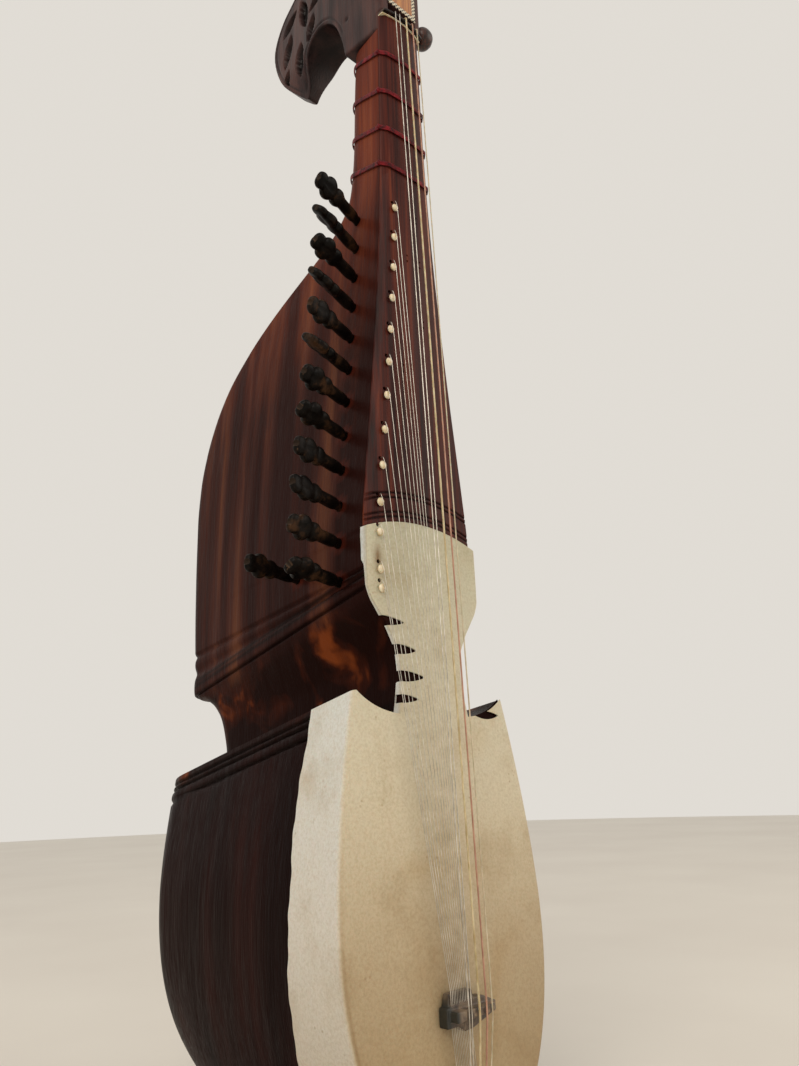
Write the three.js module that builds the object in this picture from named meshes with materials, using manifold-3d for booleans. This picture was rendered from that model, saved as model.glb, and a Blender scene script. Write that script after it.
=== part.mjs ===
// A rubab: a deep carved lute with a skin over its lower half, five long strings, thirteen
// sympathetic strings along its left side, four tied frets and a headstock that hooks back.
// Millimetres. X runs to the right of someone facing the strings, Y runs back, Z runs up the neck.
// The pieces are laid out with Y = 0 on the playing face and Z = 0 on the bottom end. The
// last group moves them back so that the origin is the middle of the flat at the bottom end.
import * as THREE from 'three';
import { mergeVertices } from 'three/addons/utils/BufferGeometryUtils.js';
import Module from 'manifold-3d';

const wasm = await Module();
wasm.setup();

// ---- Driving dimensions -------------------------------------------------------------------

const SCALE_LENGTH = 640;           // nut to bridge
const BRIDGE_Z = 92;                // bridge line above the bottom end
const NUT_Z = BRIDGE_Z + SCALE_LENGTH;
const FOOT_DEPTH = 90;              // middle of the bottom flat, behind the playing face
const GAP = 0.3;                    // between pieces that touch

const FACE_BEND_Z = 300;            // below this the face leans forward
const FACE_LEAN = 0.058;            // forward per mm down
const SKIN_THICK = 1;
const BOARD_THICK = 5;
const BOARD_CHAMFER = 3.4;
const BOARD_EDGE_Y = 0.5;
const BOARD_CAMBER = 2.3;           // rise of the board's middle at the nut
const SKIN_END = { centreZ: 217, radius: 130 };   // arc where the board ends and the skin begins

// Neck, upper chamber and waist: height at the face, drop per mm of depth, half width, depth,
// radius of the round back.
const CHAMBER = [
  [721, 0, 19.5, 42, 17],
  [690, 0, 20, 44, 17.5],
  [640, 0, 20.8, 46, 18],
  [612, 0, 21.6, 49, 18],
  [596, 0, 22.2, 53, 18],
  [584, 0, 22.7, 62, 18],
  [572, 0, 23.3, 80, 17],
  [560, 0, 24, 107, 17],
  [548, 0, 24.7, 138, 16],
  [526, 0, 26.2, 178, 16],
  [504, 0, 28, 204, 17],
  [480, 0, 30.2, 221, 18],
  [455, 0, 32.6, 232, 19],
  [430, 0, 35.2, 238, 20],
  [400, 0, 38.6, 241, 20],
  [370, 0, 42, 241, 20],
  [342, 0.05, 44.6, 240, 20],
  [316, 0.09, 45, 238, 20],
  [306, 0.18, 45, 236, 20],
  [299, 0.18, 43, 219, 20],
  [290, 0.18, 37, 207, 20],
  [280, 0.18, 30, 200, 19],
  [268, 0.18, 24.5, 196, 18],
  [256, 0.18, 23.3, 193, 18],
  [244, 0.18, 24.5, 192, 18],
  [226, 0.18, 28, 192, 20],
];
const WALL = 6;
const BACK_WALL = 10;
const SIDE_LEAN = 0.09;             // how much the sides lean in per mm of depth

// Lower bowl, carved as outlines that shrink from the face to the round back.
const BOWL = {
  half: 76,                         // half width at the face
  widestZ: 130,
  shoulderZ: 245,                   // tips of the two shoulders
  shoulderNarrowing: 0.21,
  shoulderDip: 12,                  // hollow between a shoulder tip and the waist
  ledgeSlope: 0.18,
  faceDrop: 116,                    // widest line down to the bottom of the face
  fullDrop: 133,                    // the same, deeper in, before the bottom is cut flat
  backCentre: 196,
  backRadius: 49,
  backTouch: 202,                   // depth where the leaning side meets the round back
  edgeRound: 3,
  roundness: 2.2,
};

// Head, as seen from the left: depth and height of the points that its outline passes.
const HEAD_JOINT_Z = 721;
const HEAD_HALF = 19.5;
const HEAD_BACK = { half: 9, from: 55, to: 150 };   // half width at the back edge, taper in depth
const BEAK = { half: 5, from: 85, to: 100, low: 738, high: 775 };
const HEAD_OUTER = [
  [0, 800], [3, 858], [14, 876], [34, 880], [62, 871], [88, 858], [112, 847], [134, 837],
  [146, 817], [144, 794], [132, 768], [112, 745], [104, 738],
];
const HEAD_INNER = [
  [99, 749], [96, 760], [90, 771], [80, 777], [66, 775], [54, 763], [46, 743], [42, 724],
];
const PEGBOX = { half: 11, front: 7, back: 27, top: 862, slotHalf: 14, slotHeight: 10 };

// Long pegs: height and side. Their axes cross the pegbox.
const LONG_PEGS = [[762, 1], [780, -1], [800, -1], [820, 1], [842, 1]];
const LONG_PEG_Y = 16;
const WINDING = 0.6;                // strings close up towards the middle of the pegbox
const MOUTH_CLOSING = 0.8;          // and this much of that by its mouth
const LONG_PEG_RADIUS = 3.8;
const PEG_CLEARANCE = 0.5;

// Sympathetic pegs and the bone saddles over which their strings leave.
const PEG_TURN = THREE.MathUtils.degToRad(19.4);  // the pegs point left and this much forward
const PEG_RADIUS = 3.1;
const PEG_REACH = 52;               // side of the body to the tip of the peg's head
const PEG_HEAD = 27;
const PEG_DEPTH = 30;
const PEG_PITCH = 23.5;
const TOP_PEG_Z = 570;
const LAST_PEG = { y: 76, z: 323 }; // the thirteenth peg stands behind the row
const SADDLE_INSET = 8.2;
const SADDLE_RADIUS = 2.4;
const SADDLE_HEIGHT = 2.6;
const TOP_SADDLE_Z = 566;
const SKIN_SADDLES_Z = [336, 314, 303];
const STRING_HOLE_RADIUS = 1.3;
const STRING_HOLE_RISE = 4.5;       // hole above its saddle
// How far each sympathetic peg's flat head is turned about the peg, in degrees.
const HEAD_TURNS = [56, 146, 35, 140, 75, 150, 56, 45, 80, 95, 70, 40, 85];

// Long strings, left to right: place on the nut, place on the bridge, radius.
const LONG_STRINGS = [
  [-10.5, -8, 0.3], [-6.8, -6, 0.3], [-0.8, -0.4, 0.6], [6.2, 5.2, 0.5], [11.8, 9.6, 0.4],
];
const SYMPATHETIC_RADIUS = 0.25;
const NUT_TOP = -5;
const NUT_LENGTH = 3;
const BRIDGE_TOP = -24.6;
const COMB_TOP = -17.8;
const COMB_LEFT = -13.4;
const COMB_PITCH = 1.2;
const TAIL = { top: 27, bottom: 15, half: 13, thick: 5.4 };

const FRET_WIDTH = 2.6;
const FRET_THICK = 1.1;
const FRET_CLEARANCE = 0.45;
const FRET_SLANT = 0.38;            // the bands climb this much per mm towards the back
const FRET_TRAVEL = 3;              // each band can be pushed this far either way
const NECK_DEPTH = 47;
const FRETS = 4;

// ---- Materials ----------------------------------------------------------------------------

const paint = (color, roughness) => () =>
  new THREE.MeshStandardMaterial({ color, roughness, metalness: 0 });
const carvedWood = paint('#4a1c12', 0.4);
const boardWood = paint('#3a1412', 0.35);
const headWood = paint('#38191a', 0.45);
const darkWood = paint('#1d0f0c', 0.5);
const rawhide = paint('#d6c7a4', 0.7);
const bone = paint('#e6dfcf', 0.4);
const horn = paint('#6b5c50', 0.5);
const crimsonGut = paint('#5a0f18', 0.5);
const gut = paint('#dccfae', 0.4);
const steel = () =>
  new THREE.MeshStandardMaterial({ color: '#b9b4aa', roughness: 0.3, metalness: 1 });

// ---- Small tools --------------------------------------------------------------------------

// Turns a closed geometry into a solid that can be cut and joined.
function solid(geometry) {
  const bare = geometry.clone();
  bare.deleteAttribute('normal');
  bare.deleteAttribute('uv');
  const merged = mergeVertices(bare, 1e-4);
  return new wasm.Manifold(new wasm.Mesh({
    numProp: 3,
    vertProperties: merged.attributes.position.array,
    triVerts: Uint32Array.from(merged.index.array),
  }));
}

function toGeometry(shape) {
  const { vertProperties, triVerts } = shape.getMesh();
  const geometry = new THREE.BufferGeometry();
  geometry.setAttribute('position', new THREE.BufferAttribute(vertProperties, 3));
  geometry.setIndex(new THREE.BufferAttribute(triVerts, 1));
  return geometry;
}

// A closed surface through rings with equal numbers of points. The first ring is the top and
// each ring runs anticlockwise as seen from beyond the top.
function loft(rings) {
  const sides = rings[0].length;
  const rows = rings.length - 1;
  const geometry = new THREE.CylinderGeometry(1, 1, 1, sides, rows);
  const position = geometry.attributes.position;
  const middle = (ring) => ring.reduce((sum, p) => sum.add(p), new THREE.Vector3())
    .divideScalar(ring.length);
  for (let i = 0; i < position.count; i += 1) {
    const [x, y, z] = [position.getX(i), position.getY(i), position.getZ(i)];
    const ring = rings[Math.round((0.5 - y) * rows)];
    const turn = Math.round(Math.atan2(x, z) / (2 * Math.PI) * sides);
    const onAxis = Math.hypot(x, z) < 0.5;
    const p = onAxis ? middle(ring) : ring[(turn + sides) % sides];
    position.setXYZ(i, p.x, p.y, p.z);
  }
  return geometry;
}

// A box given by its two corners.
function box(x0, x1, y0, y1, z0, z1) {
  return new THREE.BoxGeometry(x1 - x0, y1 - y0, z1 - z0)
    .translate((x0 + x1) / 2, (y0 + y1) / 2, (z0 + z1) / 2);
}

// An outline drawn in X and Z, given thickness along Y.
function plateXZ(shape, y0, y1) {
  return new THREE.ExtrudeGeometry(shape, { depth: y1 - y0, bevelEnabled: false, curveSegments: 10 })
    .rotateX(Math.PI / 2).translate(0, y1, 0);
}

// An outline drawn in Y and Z, given thickness along X.
function plateYZ(shape, x0, x1) {
  return new THREE.ExtrudeGeometry(shape, { depth: x1 - x0, bevelEnabled: false, curveSegments: 3 })
    .rotateX(Math.PI / 2).rotateZ(Math.PI / 2).translate(x0, 0, 0);
}

// A tube that turns at given points, for strings.
class Route extends THREE.Curve {
  constructor(points) {
    super();
    this.points = points;
  }

  getPoint(t) {
    return this.points[Math.round(t * (this.points.length - 1))].clone();
  }

  getPointAt(t) {
    return this.getPoint(t);
  }

  getTangentAt(t) {
    const i = Math.round(t * (this.points.length - 1));
    const step = (a, b) => this.points[b].clone().sub(this.points[a]).normalize();
    const last = this.points.length - 1;
    const before = step(Math.max(i - 1, 0), Math.max(i, 1));
    const after = step(Math.min(i, last - 1), Math.min(i + 1, last));
    return before.add(after).normalize();
  }
}

function stringAlong(points, radius) {
  const section = new THREE.Shape();
  section.absarc(0, 0, radius, 0, 2 * Math.PI);
  return new THREE.ExtrudeGeometry(section, {
    steps: points.length - 1,
    curveSegments: 3,
    extrudePath: new Route(points),
  });
}

function mesh(name, geometry, material) {
  const piece = new THREE.Mesh(geometry, material());
  piece.name = name;
  return piece;
}

const vec = (x, y, z) => new THREE.Vector3(x, y, z);
const lerp = THREE.MathUtils.lerp;
const two = (n) => String(n).padStart(2, '0');

// ---- The face and the width of the neck and chamber ---------------------------------------

// Depth of the playing face at a height.
const faceY = (z) => -FACE_LEAN * Math.max(0, FACE_BEND_Z - z);

// Half width of the neck and chamber at a height on the face.
function halfAt(z) {
  const below = Math.max(1, CHAMBER.findIndex(([height]) => height <= z));
  const [z1, , half1] = CHAMBER[below - 1];
  const [z0, , half0] = CHAMBER[below];
  return lerp(half0, half1, (z - z0) / (z1 - z0));
}

// ---- Neck, chamber and waist --------------------------------------------------------------

// One ring: flat in front, straight sides that lean in, round back.
function chamberRing([z, drop, half, depth, radius], front) {
  const centre = depth - radius;
  const reach = Math.hypot(half, centre - front);
  const lean = Math.atan2(half, centre - front) - Math.asin(Math.min(1, radius / reach));
  const touch = [radius * Math.cos(lean), centre + radius * Math.sin(lean)];
  const sideSteps = 4;
  const arcSteps = 8;
  const right = [];
  for (let i = 0; i < sideSteps; i += 1) {
    right.push([lerp(half, touch[0], i / sideSteps), lerp(front, touch[1], i / sideSteps)]);
  }
  const arc = [];
  for (let i = 0; i <= arcSteps; i += 1) {
    const angle = lean + (Math.PI - 2 * lean) * i / arcSteps;
    arc.push([radius * Math.cos(angle), centre + radius * Math.sin(angle)]);
  }
  const left = right.map(([x, y]) => [-x, y]).reverse();
  return [...right, ...arc, ...left, [0, front]].map(([x, y]) => vec(x, y, z - drop * y));
}

// The whole neck, chamber and waist, larger all round by grow.
function chamberSolid(grow) {
  return solid(loft(CHAMBER.map(([z, drop, half, depth, radius]) => chamberRing(
    [z, drop, half + grow, depth + grow, radius + grow],
    faceY(z) + SKIN_THICK + GAP - grow,
  ))));
}

// The hollow in the chamber, open at the face.
function chamberHollow() {
  const top = 585;
  const bottom = 310;
  const front = -40;
  const narrower = WALL + SIDE_LEAN * front;
  const ring = (z, half, depth, radius) =>
    chamberRing([z, 0, half - narrower, depth - BACK_WALL, radius - WALL], front);
  const rings = CHAMBER.filter(([z]) => z < top && z > bottom)
    .map(([z, , half, depth, radius]) => ring(z, half, depth, radius));
  return solid(loft([...rings, ring(298, halfAt(342), 210, 20)]));
}

// ---- Lower bowl ---------------------------------------------------------------------------

function bowlHalf(y) {
  const { half, backCentre, backRadius, backTouch } = BOWL;
  const round = (depth) => Math.sqrt(Math.max(0, backRadius ** 2 - (depth - backCentre) ** 2));
  return y < backTouch ? lerp(half, round(backTouch), y / backTouch) : round(y);
}

function bowlDrop(y) {
  const deep = 80;
  const { faceDrop, fullDrop, backCentre, backRadius } = BOWL;
  if (y < deep) {
    return lerp(faceDrop, fullDrop, Math.sin(Math.PI / 2 * Math.min(1, y / 50)));
  }
  const power = 2.8;
  const part = (y - deep) / (backCentre + backRadius - deep);
  return fullDrop * Math.max(0, 1 - part ** power) ** (1 / power);
}

// One outline of the bowl at a depth. It starts at the widest point on the right and runs up
// over the two shoulders, down the left side and round the bottom.
function bowlRing(y, half, drop, top, shift) {
  const { widestZ, shoulderNarrowing, shoulderDip, roundness, ledgeSlope } = BOWL;
  const tipZ = top - ledgeSlope * y;
  const flatten = THREE.MathUtils.clamp(1 - y / 60, 0.15, 1);
  const side = [];
  for (let i = 0; i < 5; i += 1) {
    const part = i / 4;
    side.push([half * (1 - shoulderNarrowing * part ** 1.6), lerp(widestZ, tipZ, part)]);
  }
  const tip = side[4][0];
  const across = [];
  for (let i = 1; i < 8; i += 1) {
    const part = 1 - i / 4;
    const hollow = 1 - Math.min(1, Math.abs(part) ** 4);
    across.push([tip * part, tipZ - shoulderDip * flatten * hollow]);
  }
  const left = side.map(([x, z]) => [-x, z]).reverse();
  const bottom = [];
  for (let i = 1; i < 14; i += 1) {
    const angle = Math.PI * i / 14;
    const power = 2 / roundness;
    bottom.push([
      -half * Math.sign(Math.cos(angle)) * Math.abs(Math.cos(angle)) ** power,
      widestZ - drop * Math.sin(angle) ** power,
    ]);
  }
  const fade = Math.max(0, 1 - y / 60);
  return [...side, ...across, ...left, ...bottom]
    .map(([x, z]) => vec(x, y + faceY(z) * fade + shift, z));
}

// The outside of the bowl, larger all round by grow, with its top higher by lift.
function bowlSolid(grow, lift) {
  const { edgeRound, shoulderZ, backCentre, backRadius } = BOWL;
  const depths = [0, 1, 3, 20, 50, 90, 140, 175, 202, 219, 232, 240, backCentre + backRadius - 0.5];
  const rings = depths.map((y) => {
    const inset = edgeRound * (1 - Math.sqrt(1 - Math.max(0, 1 - y / edgeRound) ** 2));
    const front = (SKIN_THICK + GAP - grow) * Math.max(0, 1 - y / 20);
    return bowlRing(y, bowlHalf(y) - inset + grow, bowlDrop(y) - inset + grow, shoulderZ + lift,
      front);
  });
  return solid(loft(rings));
}

function bowlHollow() {
  const wall = 8;
  const ledge = 12;
  const depths = [0, 60, 110, 160, 195, 215, 228, 236];
  const rings = depths.map((y) =>
    bowlRing(y, bowlHalf(y) - wall, bowlDrop(y) - wall, BOWL.shoulderZ - ledge, 0));
  const open = rings[0].map((p) => vec(p.x, p.y - 30, p.z));
  return solid(loft([open, ...rings]));
}

// ---- Cutting shapes -----------------------------------------------------------------------

// Everything above the arc where the skin begins, between two depths.
function aboveSkinEnd(y0, y1, gap) {
  const { centreZ, radius } = SKIN_END;
  const outline = new THREE.Shape();
  outline.absarc(0, centreZ, radius + gap, Math.PI / 4, Math.PI * 3 / 4, false);
  outline.lineTo(-radius, NUT_Z - GAP);
  outline.lineTo(radius, NUT_Z - GAP);
  outline.closePath();
  return solid(plateXZ(outline, y0, y1));
}

// A hole bored straight back through the face for one sympathetic string.
function stringHole(x, z) {
  return solid(new THREE.CylinderGeometry(STRING_HOLE_RADIUS, STRING_HOLE_RADIUS, 24, 8)
    .translate(x, 0, z));
}

// ---- Sympathetic stations -----------------------------------------------------------------

// Each station joins one peg, its hole, its saddle and its slot on the bridge.
const stations = Array.from({ length: 13 }, (_, i) => {
  const onSkin = i - 10;
  const saddleZ = onSkin < 0 ? TOP_SADDLE_Z - PEG_PITCH * i : SKIN_SADDLES_Z[onSkin];
  const saddleX = -(halfAt(saddleZ) - SADDLE_INSET);
  const onBoard = onSkin < 0;
  const innerX = saddleX + SADDLE_RADIUS;
  const seatY = onBoard ? boardFront(innerX, saddleZ) : faceY(saddleZ);
  const last = i === 12;
  const pegZ = last ? LAST_PEG.z : TOP_PEG_Z - PEG_PITCH * i;
  const pegY = last ? LAST_PEG.y : PEG_DEPTH;
  return {
    onBoard,
    saddle: vec(saddleX, seatY - GAP, saddleZ),
    hole: vec(saddleX - 0.8, seatY, saddleZ + STRING_HOLE_RISE),
    windX: saddleX + 2.8,
    pegEndX: saddleX + 5,
    pegBase: vec(-(halfAt(pegZ) - 0.09 * pegY), pegY, pegZ),
    slotX: COMB_LEFT + COMB_PITCH * (12 - i),
    turn: THREE.MathUtils.degToRad(HEAD_TURNS[i]),
  };
});

const pegInward = vec(Math.cos(PEG_TURN), Math.sin(PEG_TURN), 0);

// Turns a shape made along +Y so that it points out of the body along a sympathetic peg.
function alongPeg(geometry, { pegBase, turn }) {
  return geometry.rotateY(turn).rotateZ(Math.PI / 2 + PEG_TURN)
    .translate(pegBase.x, pegBase.y, pegBase.z);
}

// ---- The carved body ----------------------------------------------------------------------

function body() {
  const waistPassage = solid(box(-14, 14, -40, 110, 212, 330));
  const belowGround = solid(box(-100, 100, -60, 300, -40, 0));
  let shape = chamberSolid(0).add(bowlSolid(0, 0))
    .subtract(aboveSkinEnd(-20, BOARD_THICK + GAP, 0))
    .subtract(chamberHollow())
    .subtract(bowlHollow())
    .subtract(waistPassage)
    .subtract(belowGround);
  for (const station of stations) {
    const bore = new THREE.CylinderGeometry(PEG_RADIUS + PEG_CLEARANCE, PEG_RADIUS + PEG_CLEARANCE,
      40, 8);
    shape = shape.subtract(solid(alongPeg(bore, { ...station, turn: 0 })));
  }
  return toGeometry(shape);
}

// ---- Fingerboard --------------------------------------------------------------------------

// The board's surface: edges slightly behind Y = 0, middle bowed forward, more so at the nut.
function boardFront(x, z, grow = 0) {
  const camber = lerp(0.8, BOARD_CAMBER, (z - 340) / (NUT_Z - 340));
  const shoulder = halfAt(Math.min(z, HEAD_JOINT_Z)) + grow - BOARD_CHAMFER;
  return BOARD_EDGE_Y - grow - camber * (1 - (x / shoulder) ** 2);
}

function boardRing(z, grow) {
  const half = halfAt(Math.min(z, HEAD_JOINT_Z)) + grow;
  const shoulder = half - BOARD_CHAMFER;
  const front = [];
  for (let i = 0; i <= 6; i += 1) {
    const x = shoulder * (i / 3 - 1);
    front.push([x, boardFront(x, z, grow)]);
  }
  const sideY = BOARD_EDGE_Y - grow + BOARD_CHAMFER;
  return [[half, sideY], [half, BOARD_THICK], [-half, BOARD_THICK], [-half, sideY], ...front]
    .map(([x, y]) => vec(x, y, z));
}

function fingerboard() {
  const heights = [NUT_Z - GAP, HEAD_JOINT_Z, 640, 596, 548, 504, 455, 430, 400, 370, 330];
  let shape = solid(loft(heights.map((z) => boardRing(z, 0))))
    .intersect(aboveSkinEnd(-20, 20, GAP));
  for (const { hole } of stations.filter(({ onBoard }) => onBoard)) {
    shape = shape.subtract(stringHole(hole.x, hole.z));
  }
  return toGeometry(shape);
}

// ---- Skin ---------------------------------------------------------------------------------

// How far the skin folds back round the side, from the bottom of the bowl up to the board.
function skinRegion() {
  const outline = new THREE.Shape();
  const edge = [[6, -5], [6, 12], [26, 34], [38, 66], [38, 247], [3, 250], [3, 312], [6, 318],
    [6, 360]];
  outline.moveTo(-40, -5);
  edge.forEach(([y, z]) => outline.lineTo(y, z));
  outline.lineTo(-40, 360);
  outline.closePath();
  return solid(plateYZ(outline, -100, 100));
}

function skin() {
  const outside = chamberSolid(SKIN_THICK + GAP).add(bowlSolid(SKIN_THICK + GAP, 0));
  const inside = chamberSolid(GAP).add(bowlSolid(GAP, 3));
  let shape = outside.subtract(inside).intersect(skinRegion())
    .subtract(aboveSkinEnd(-40, 40, 0))
    .subtract(solid(box(-50, 50, 3, 60, 226, 262)));
  for (const { hole } of stations.filter(({ onBoard }) => !onBoard)) {
    shape = shape.subtract(stringHole(hole.x, hole.z));
  }
  return toGeometry(shape);
}

// ---- Headstock and nut --------------------------------------------------------------------

// The head thins towards its back edge and again towards the tip of the beak.
function headHalf(y, z) {
  const { smoothstep } = THREE.MathUtils;
  const backwards = lerp(HEAD_HALF, HEAD_BACK.half, smoothstep(y, HEAD_BACK.from, HEAD_BACK.to));
  const tip = smoothstep(y, BEAK.from, BEAK.to) * (1 - smoothstep(z, BEAK.low, BEAK.high));
  return lerp(backwards, BEAK.half, tip);
}

function headstock() {
  const seatY = BOARD_THICK + GAP;
  const seatTop = NUT_Z + NUT_LENGTH + GAP;
  const frontY = -0.5;
  const profile = new THREE.Shape();
  profile.moveTo(seatY, HEAD_JOINT_Z + GAP);
  profile.lineTo(seatY, seatTop);
  profile.lineTo(frontY, seatTop);
  profile.splineThru(HEAD_OUTER.map(([y, z]) => new THREE.Vector2(y, z)));
  profile.splineThru(HEAD_INNER.map(([y, z]) => new THREE.Vector2(y, z)));
  profile.closePath();
  const block = plateYZ(profile, -1, 1);
  const position = block.attributes.position;
  for (let i = 0; i < position.count; i += 1) {
    position.setX(i, position.getX(i) * headHalf(position.getY(i), position.getZ(i)));
  }
  const { half, front, back, top, slotHalf, slotHeight } = PEGBOX;
  let shape = solid(block)
    .subtract(solid(box(-half, half, front, back, seatTop, top)))
    .subtract(solid(box(-slotHalf, slotHalf, -10, front + 3, seatTop - 1, seatTop + slotHeight)));
  for (const [z, side] of LONG_PEGS) {
    const radius = LONG_PEG_RADIUS + PEG_CLEARANCE;
    const bore = new THREE.CylinderGeometry(radius, radius, 42, 14)
      .rotateZ(Math.PI / 2).translate(side * 5, LONG_PEG_Y, z);
    shape = shape.subtract(solid(bore));
  }
  return toGeometry(shape);
}

// The top edge of the nut bows forward under the strings.
const nutTop = (x) => NUT_TOP + 3 * (x / HEAD_HALF) ** 2;

function nut() {
  const half = HEAD_HALF - 0.3;
  const outline = new THREE.Shape();
  outline.moveTo(half, BOARD_THICK);
  for (let i = 0; i <= 8; i += 1) {
    const x = half * (1 - i / 4);
    outline.lineTo(x, nutTop(x));
  }
  outline.lineTo(-half, BOARD_THICK);
  outline.closePath();
  return new THREE.ExtrudeGeometry(outline, { depth: NUT_LENGTH, bevelEnabled: false })
    .translate(0, 0, NUT_Z);
}

// ---- Bridge and tailpiece -----------------------------------------------------------------

function bridge() {
  const foot = faceY(BRIDGE_Z) - GAP;
  const block = (points, y0, y1) => {
    const outline = new THREE.Shape(points.map(([x, z]) => new THREE.Vector2(x, BRIDGE_Z + z)));
    return solid(plateXZ(outline, y0, y1));
  };
  const base = block([[-17, -11], [-9, -11], [-4, -14], [2, -13.5], [20, -8.5], [20, -4], [10, 0],
    [-9, 0], [-17, -2]], -19, foot - 0.9);
  const ridge = block([[-15.5, -8], [13, -7], [13, -3.5], [-15.5, -3]], BRIDGE_TOP, -18.5);
  const comb = block([[-15, -1], [4, -1], [3, 4], [-13.5, 4]], COMB_TOP, foot - 0.9);
  const opening = solid(box(-14.6, 2.6, -19.8, COMB_TOP, BRIDGE_Z - 20, BRIDGE_Z + 10));
  return toGeometry(base.add(ridge).add(comb).subtract(opening));
}

function tailpiece() {
  const { top, bottom, half, thick } = TAIL;
  const back = faceY(bottom) - GAP;
  const outline = new THREE.Shape();
  outline.moveTo(-half, top);
  outline.lineTo(-half * 0.8, bottom);
  outline.lineTo(half * 0.8, bottom);
  outline.lineTo(half, top);
  outline.closePath();
  return plateXZ(outline, back - thick, back);
}

// ---- Frets --------------------------------------------------------------------------------

const fretHeight = (fret) => BRIDGE_Z + SCALE_LENGTH / 2 ** (fret / 12);

// A band tied round the neck and board.
function fret(z) {
  const z0 = z - FRET_WIDTH / 2;
  const z1 = z + FRET_WIDTH / 2;
  const backZ = z + FRET_SLANT * NECK_DEPTH - FRET_TRAVEL;
  const row = CHAMBER.findIndex(([height]) => height <= backZ);
  const [, , , depthUp, radiusUp] = CHAMBER[row - 1];
  const [, , , depthDown, radiusDown] = CHAMBER[row];
  const part = (backZ - CHAMBER[row][0]) / (CHAMBER[row - 1][0] - CHAMBER[row][0]);
  const depth = lerp(depthDown, depthUp, part);
  const radius = lerp(radiusDown, radiusUp, part);
  const band = (grow, low, high) => {
    const neck = [high, low].map((height) =>
      chamberRing([height, -FRET_SLANT, halfAt(z) + grow, depth + grow, radius + grow], 2));
    const board = [high, low].map((height) =>
      boardRing(z, grow).map((p) => p.setZ(height + FRET_SLANT * p.y)));
    return solid(loft(neck)).add(solid(loft(board)));
  };
  return toGeometry(band(FRET_CLEARANCE + FRET_THICK, z0, z1)
    .subtract(band(FRET_CLEARANCE, z0 - 1, z1 + 1)));
}

// ---- Pegs ---------------------------------------------------------------------------------

// A sympathetic peg, made along +Y with the side of the body at Y = 0. Its flat head has
// three lobes.
function sympatheticPeg(station) {
  const inside = (station.pegEndX - station.pegBase.x) / pegInward.x;
  const neck = PEG_REACH - PEG_HEAD;
  const headThick = 5;
  const shaft = new THREE.CylinderGeometry(PEG_RADIUS, PEG_RADIUS - 0.3, neck + 4 + inside, 8)
    .translate(0, (neck + 4 - inside) / 2, 0);
  const lobe = (across, along, radius) => new THREE.CylinderGeometry(radius, radius, headThick, 8)
    .rotateX(Math.PI / 2).translate(across, neck + along, 0);
  const lobes = [lobe(0, 5, 4.2), lobe(-3, 14, 3.7), lobe(3, 14, 3.7), lobe(0, PEG_HEAD - 4.4, 4.4)];
  const stem = box(-2.4, 2.4, neck, neck + PEG_HEAD - 4, -headThick / 2, headThick / 2);
  const whole = lobes.reduce((shape, next) => shape.add(solid(next)), solid(shaft))
    .add(solid(stem));
  return alongPeg(toGeometry(whole), station);
}

// A long peg, turned: tapered shaft, collar and a round knob.
function longPeg(side) {
  const wall = HEAD_HALF;
  const profile = [[0, -15.5], [LONG_PEG_RADIUS - 0.3, -15.5], [LONG_PEG_RADIUS, wall + 6],
    [5.2, wall + 7.5], [5.2, wall + 9], [3.6, wall + 11], [6.6, wall + 14.5], [8.6, wall + 19],
    [8.2, wall + 23.5], [5.4, wall + 27.5], [0, wall + 29]];
  return new THREE.LatheGeometry(profile.map(([x, y]) => new THREE.Vector2(x, y)), 12)
    .rotateZ(-side * Math.PI / 2);
}

// ---- Saddles and strings ------------------------------------------------------------------

function saddle({ saddle: place }) {
  const r = SADDLE_RADIUS;
  const h = SADDLE_HEIGHT;
  const profile = [[0, 0], [r * 0.8, 0], [r, h * 0.35], [r * 0.75, h * 0.8], [0, h]];
  return new THREE.LatheGeometry(profile.map(([x, y]) => new THREE.Vector2(x, y)), 9)
    .rotateX(Math.PI).translate(place.x, place.y, place.z);
}

function sympatheticString(station, index) {
  const { saddle: place, hole, slotX, pegBase, windX } = station;
  const over = place.y - SADDLE_HEIGHT - GAP - SYMPATHETIC_RADIUS;
  const comb = COMB_TOP - GAP - SYMPATHETIC_RADIUS;
  const clear = PEG_RADIUS + 2 * GAP + SYMPATHETIC_RADIUS;
  const pegY = (x) => pegBase.y + (x - pegBase.x) * Math.tan(PEG_TURN) - clear / pegInward.x;
  const tailY = faceY(TAIL.top) - 2.6;
  const tailX = (slotX + 6) * 0.9;
  const inside = index < 12
    ? [vec(windX, pegY(windX), pegBase.z)]
    : [vec(-26, pegY(-26), pegBase.z), vec(-28, 22, hole.z + 2), vec(hole.x, 3, hole.z)];
  return stringAlong([
    ...inside,
    vec(hole.x, over + 1, hole.z),
    vec(place.x, over, place.z),
    vec(slotX, comb, BRIDGE_Z + 5),
    vec(slotX, comb, BRIDGE_Z - 13),
    vec(tailX, tailY, TAIL.top + GAP),
  ], SYMPATHETIC_RADIUS);
}

function longString([nutX, bridgeX, radius], [pegZ]) {
  const overNut = nutTop(nutX) - GAP - radius;
  const overBridge = BRIDGE_TOP - GAP - radius;
  const pegTop = LONG_PEG_Y - LONG_PEG_RADIUS - GAP - radius;
  const tailY = faceY(TAIL.top) - 5;
  return stringAlong([
    vec(nutX * WINDING, pegTop, pegZ),
    vec(nutX * MOUTH_CLOSING, PEGBOX.front + 1.5, NUT_Z + NUT_LENGTH + 4),
    vec(nutX, overNut, NUT_Z + NUT_LENGTH + 0.4),
    vec(nutX, overNut, NUT_Z),
    vec(bridgeX, overBridge, BRIDGE_Z - 3),
    vec(bridgeX, overBridge, BRIDGE_Z - 8),
    vec(bridgeX * 0.7, tailY, TAIL.top + GAP),
  ], radius);
}

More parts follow.
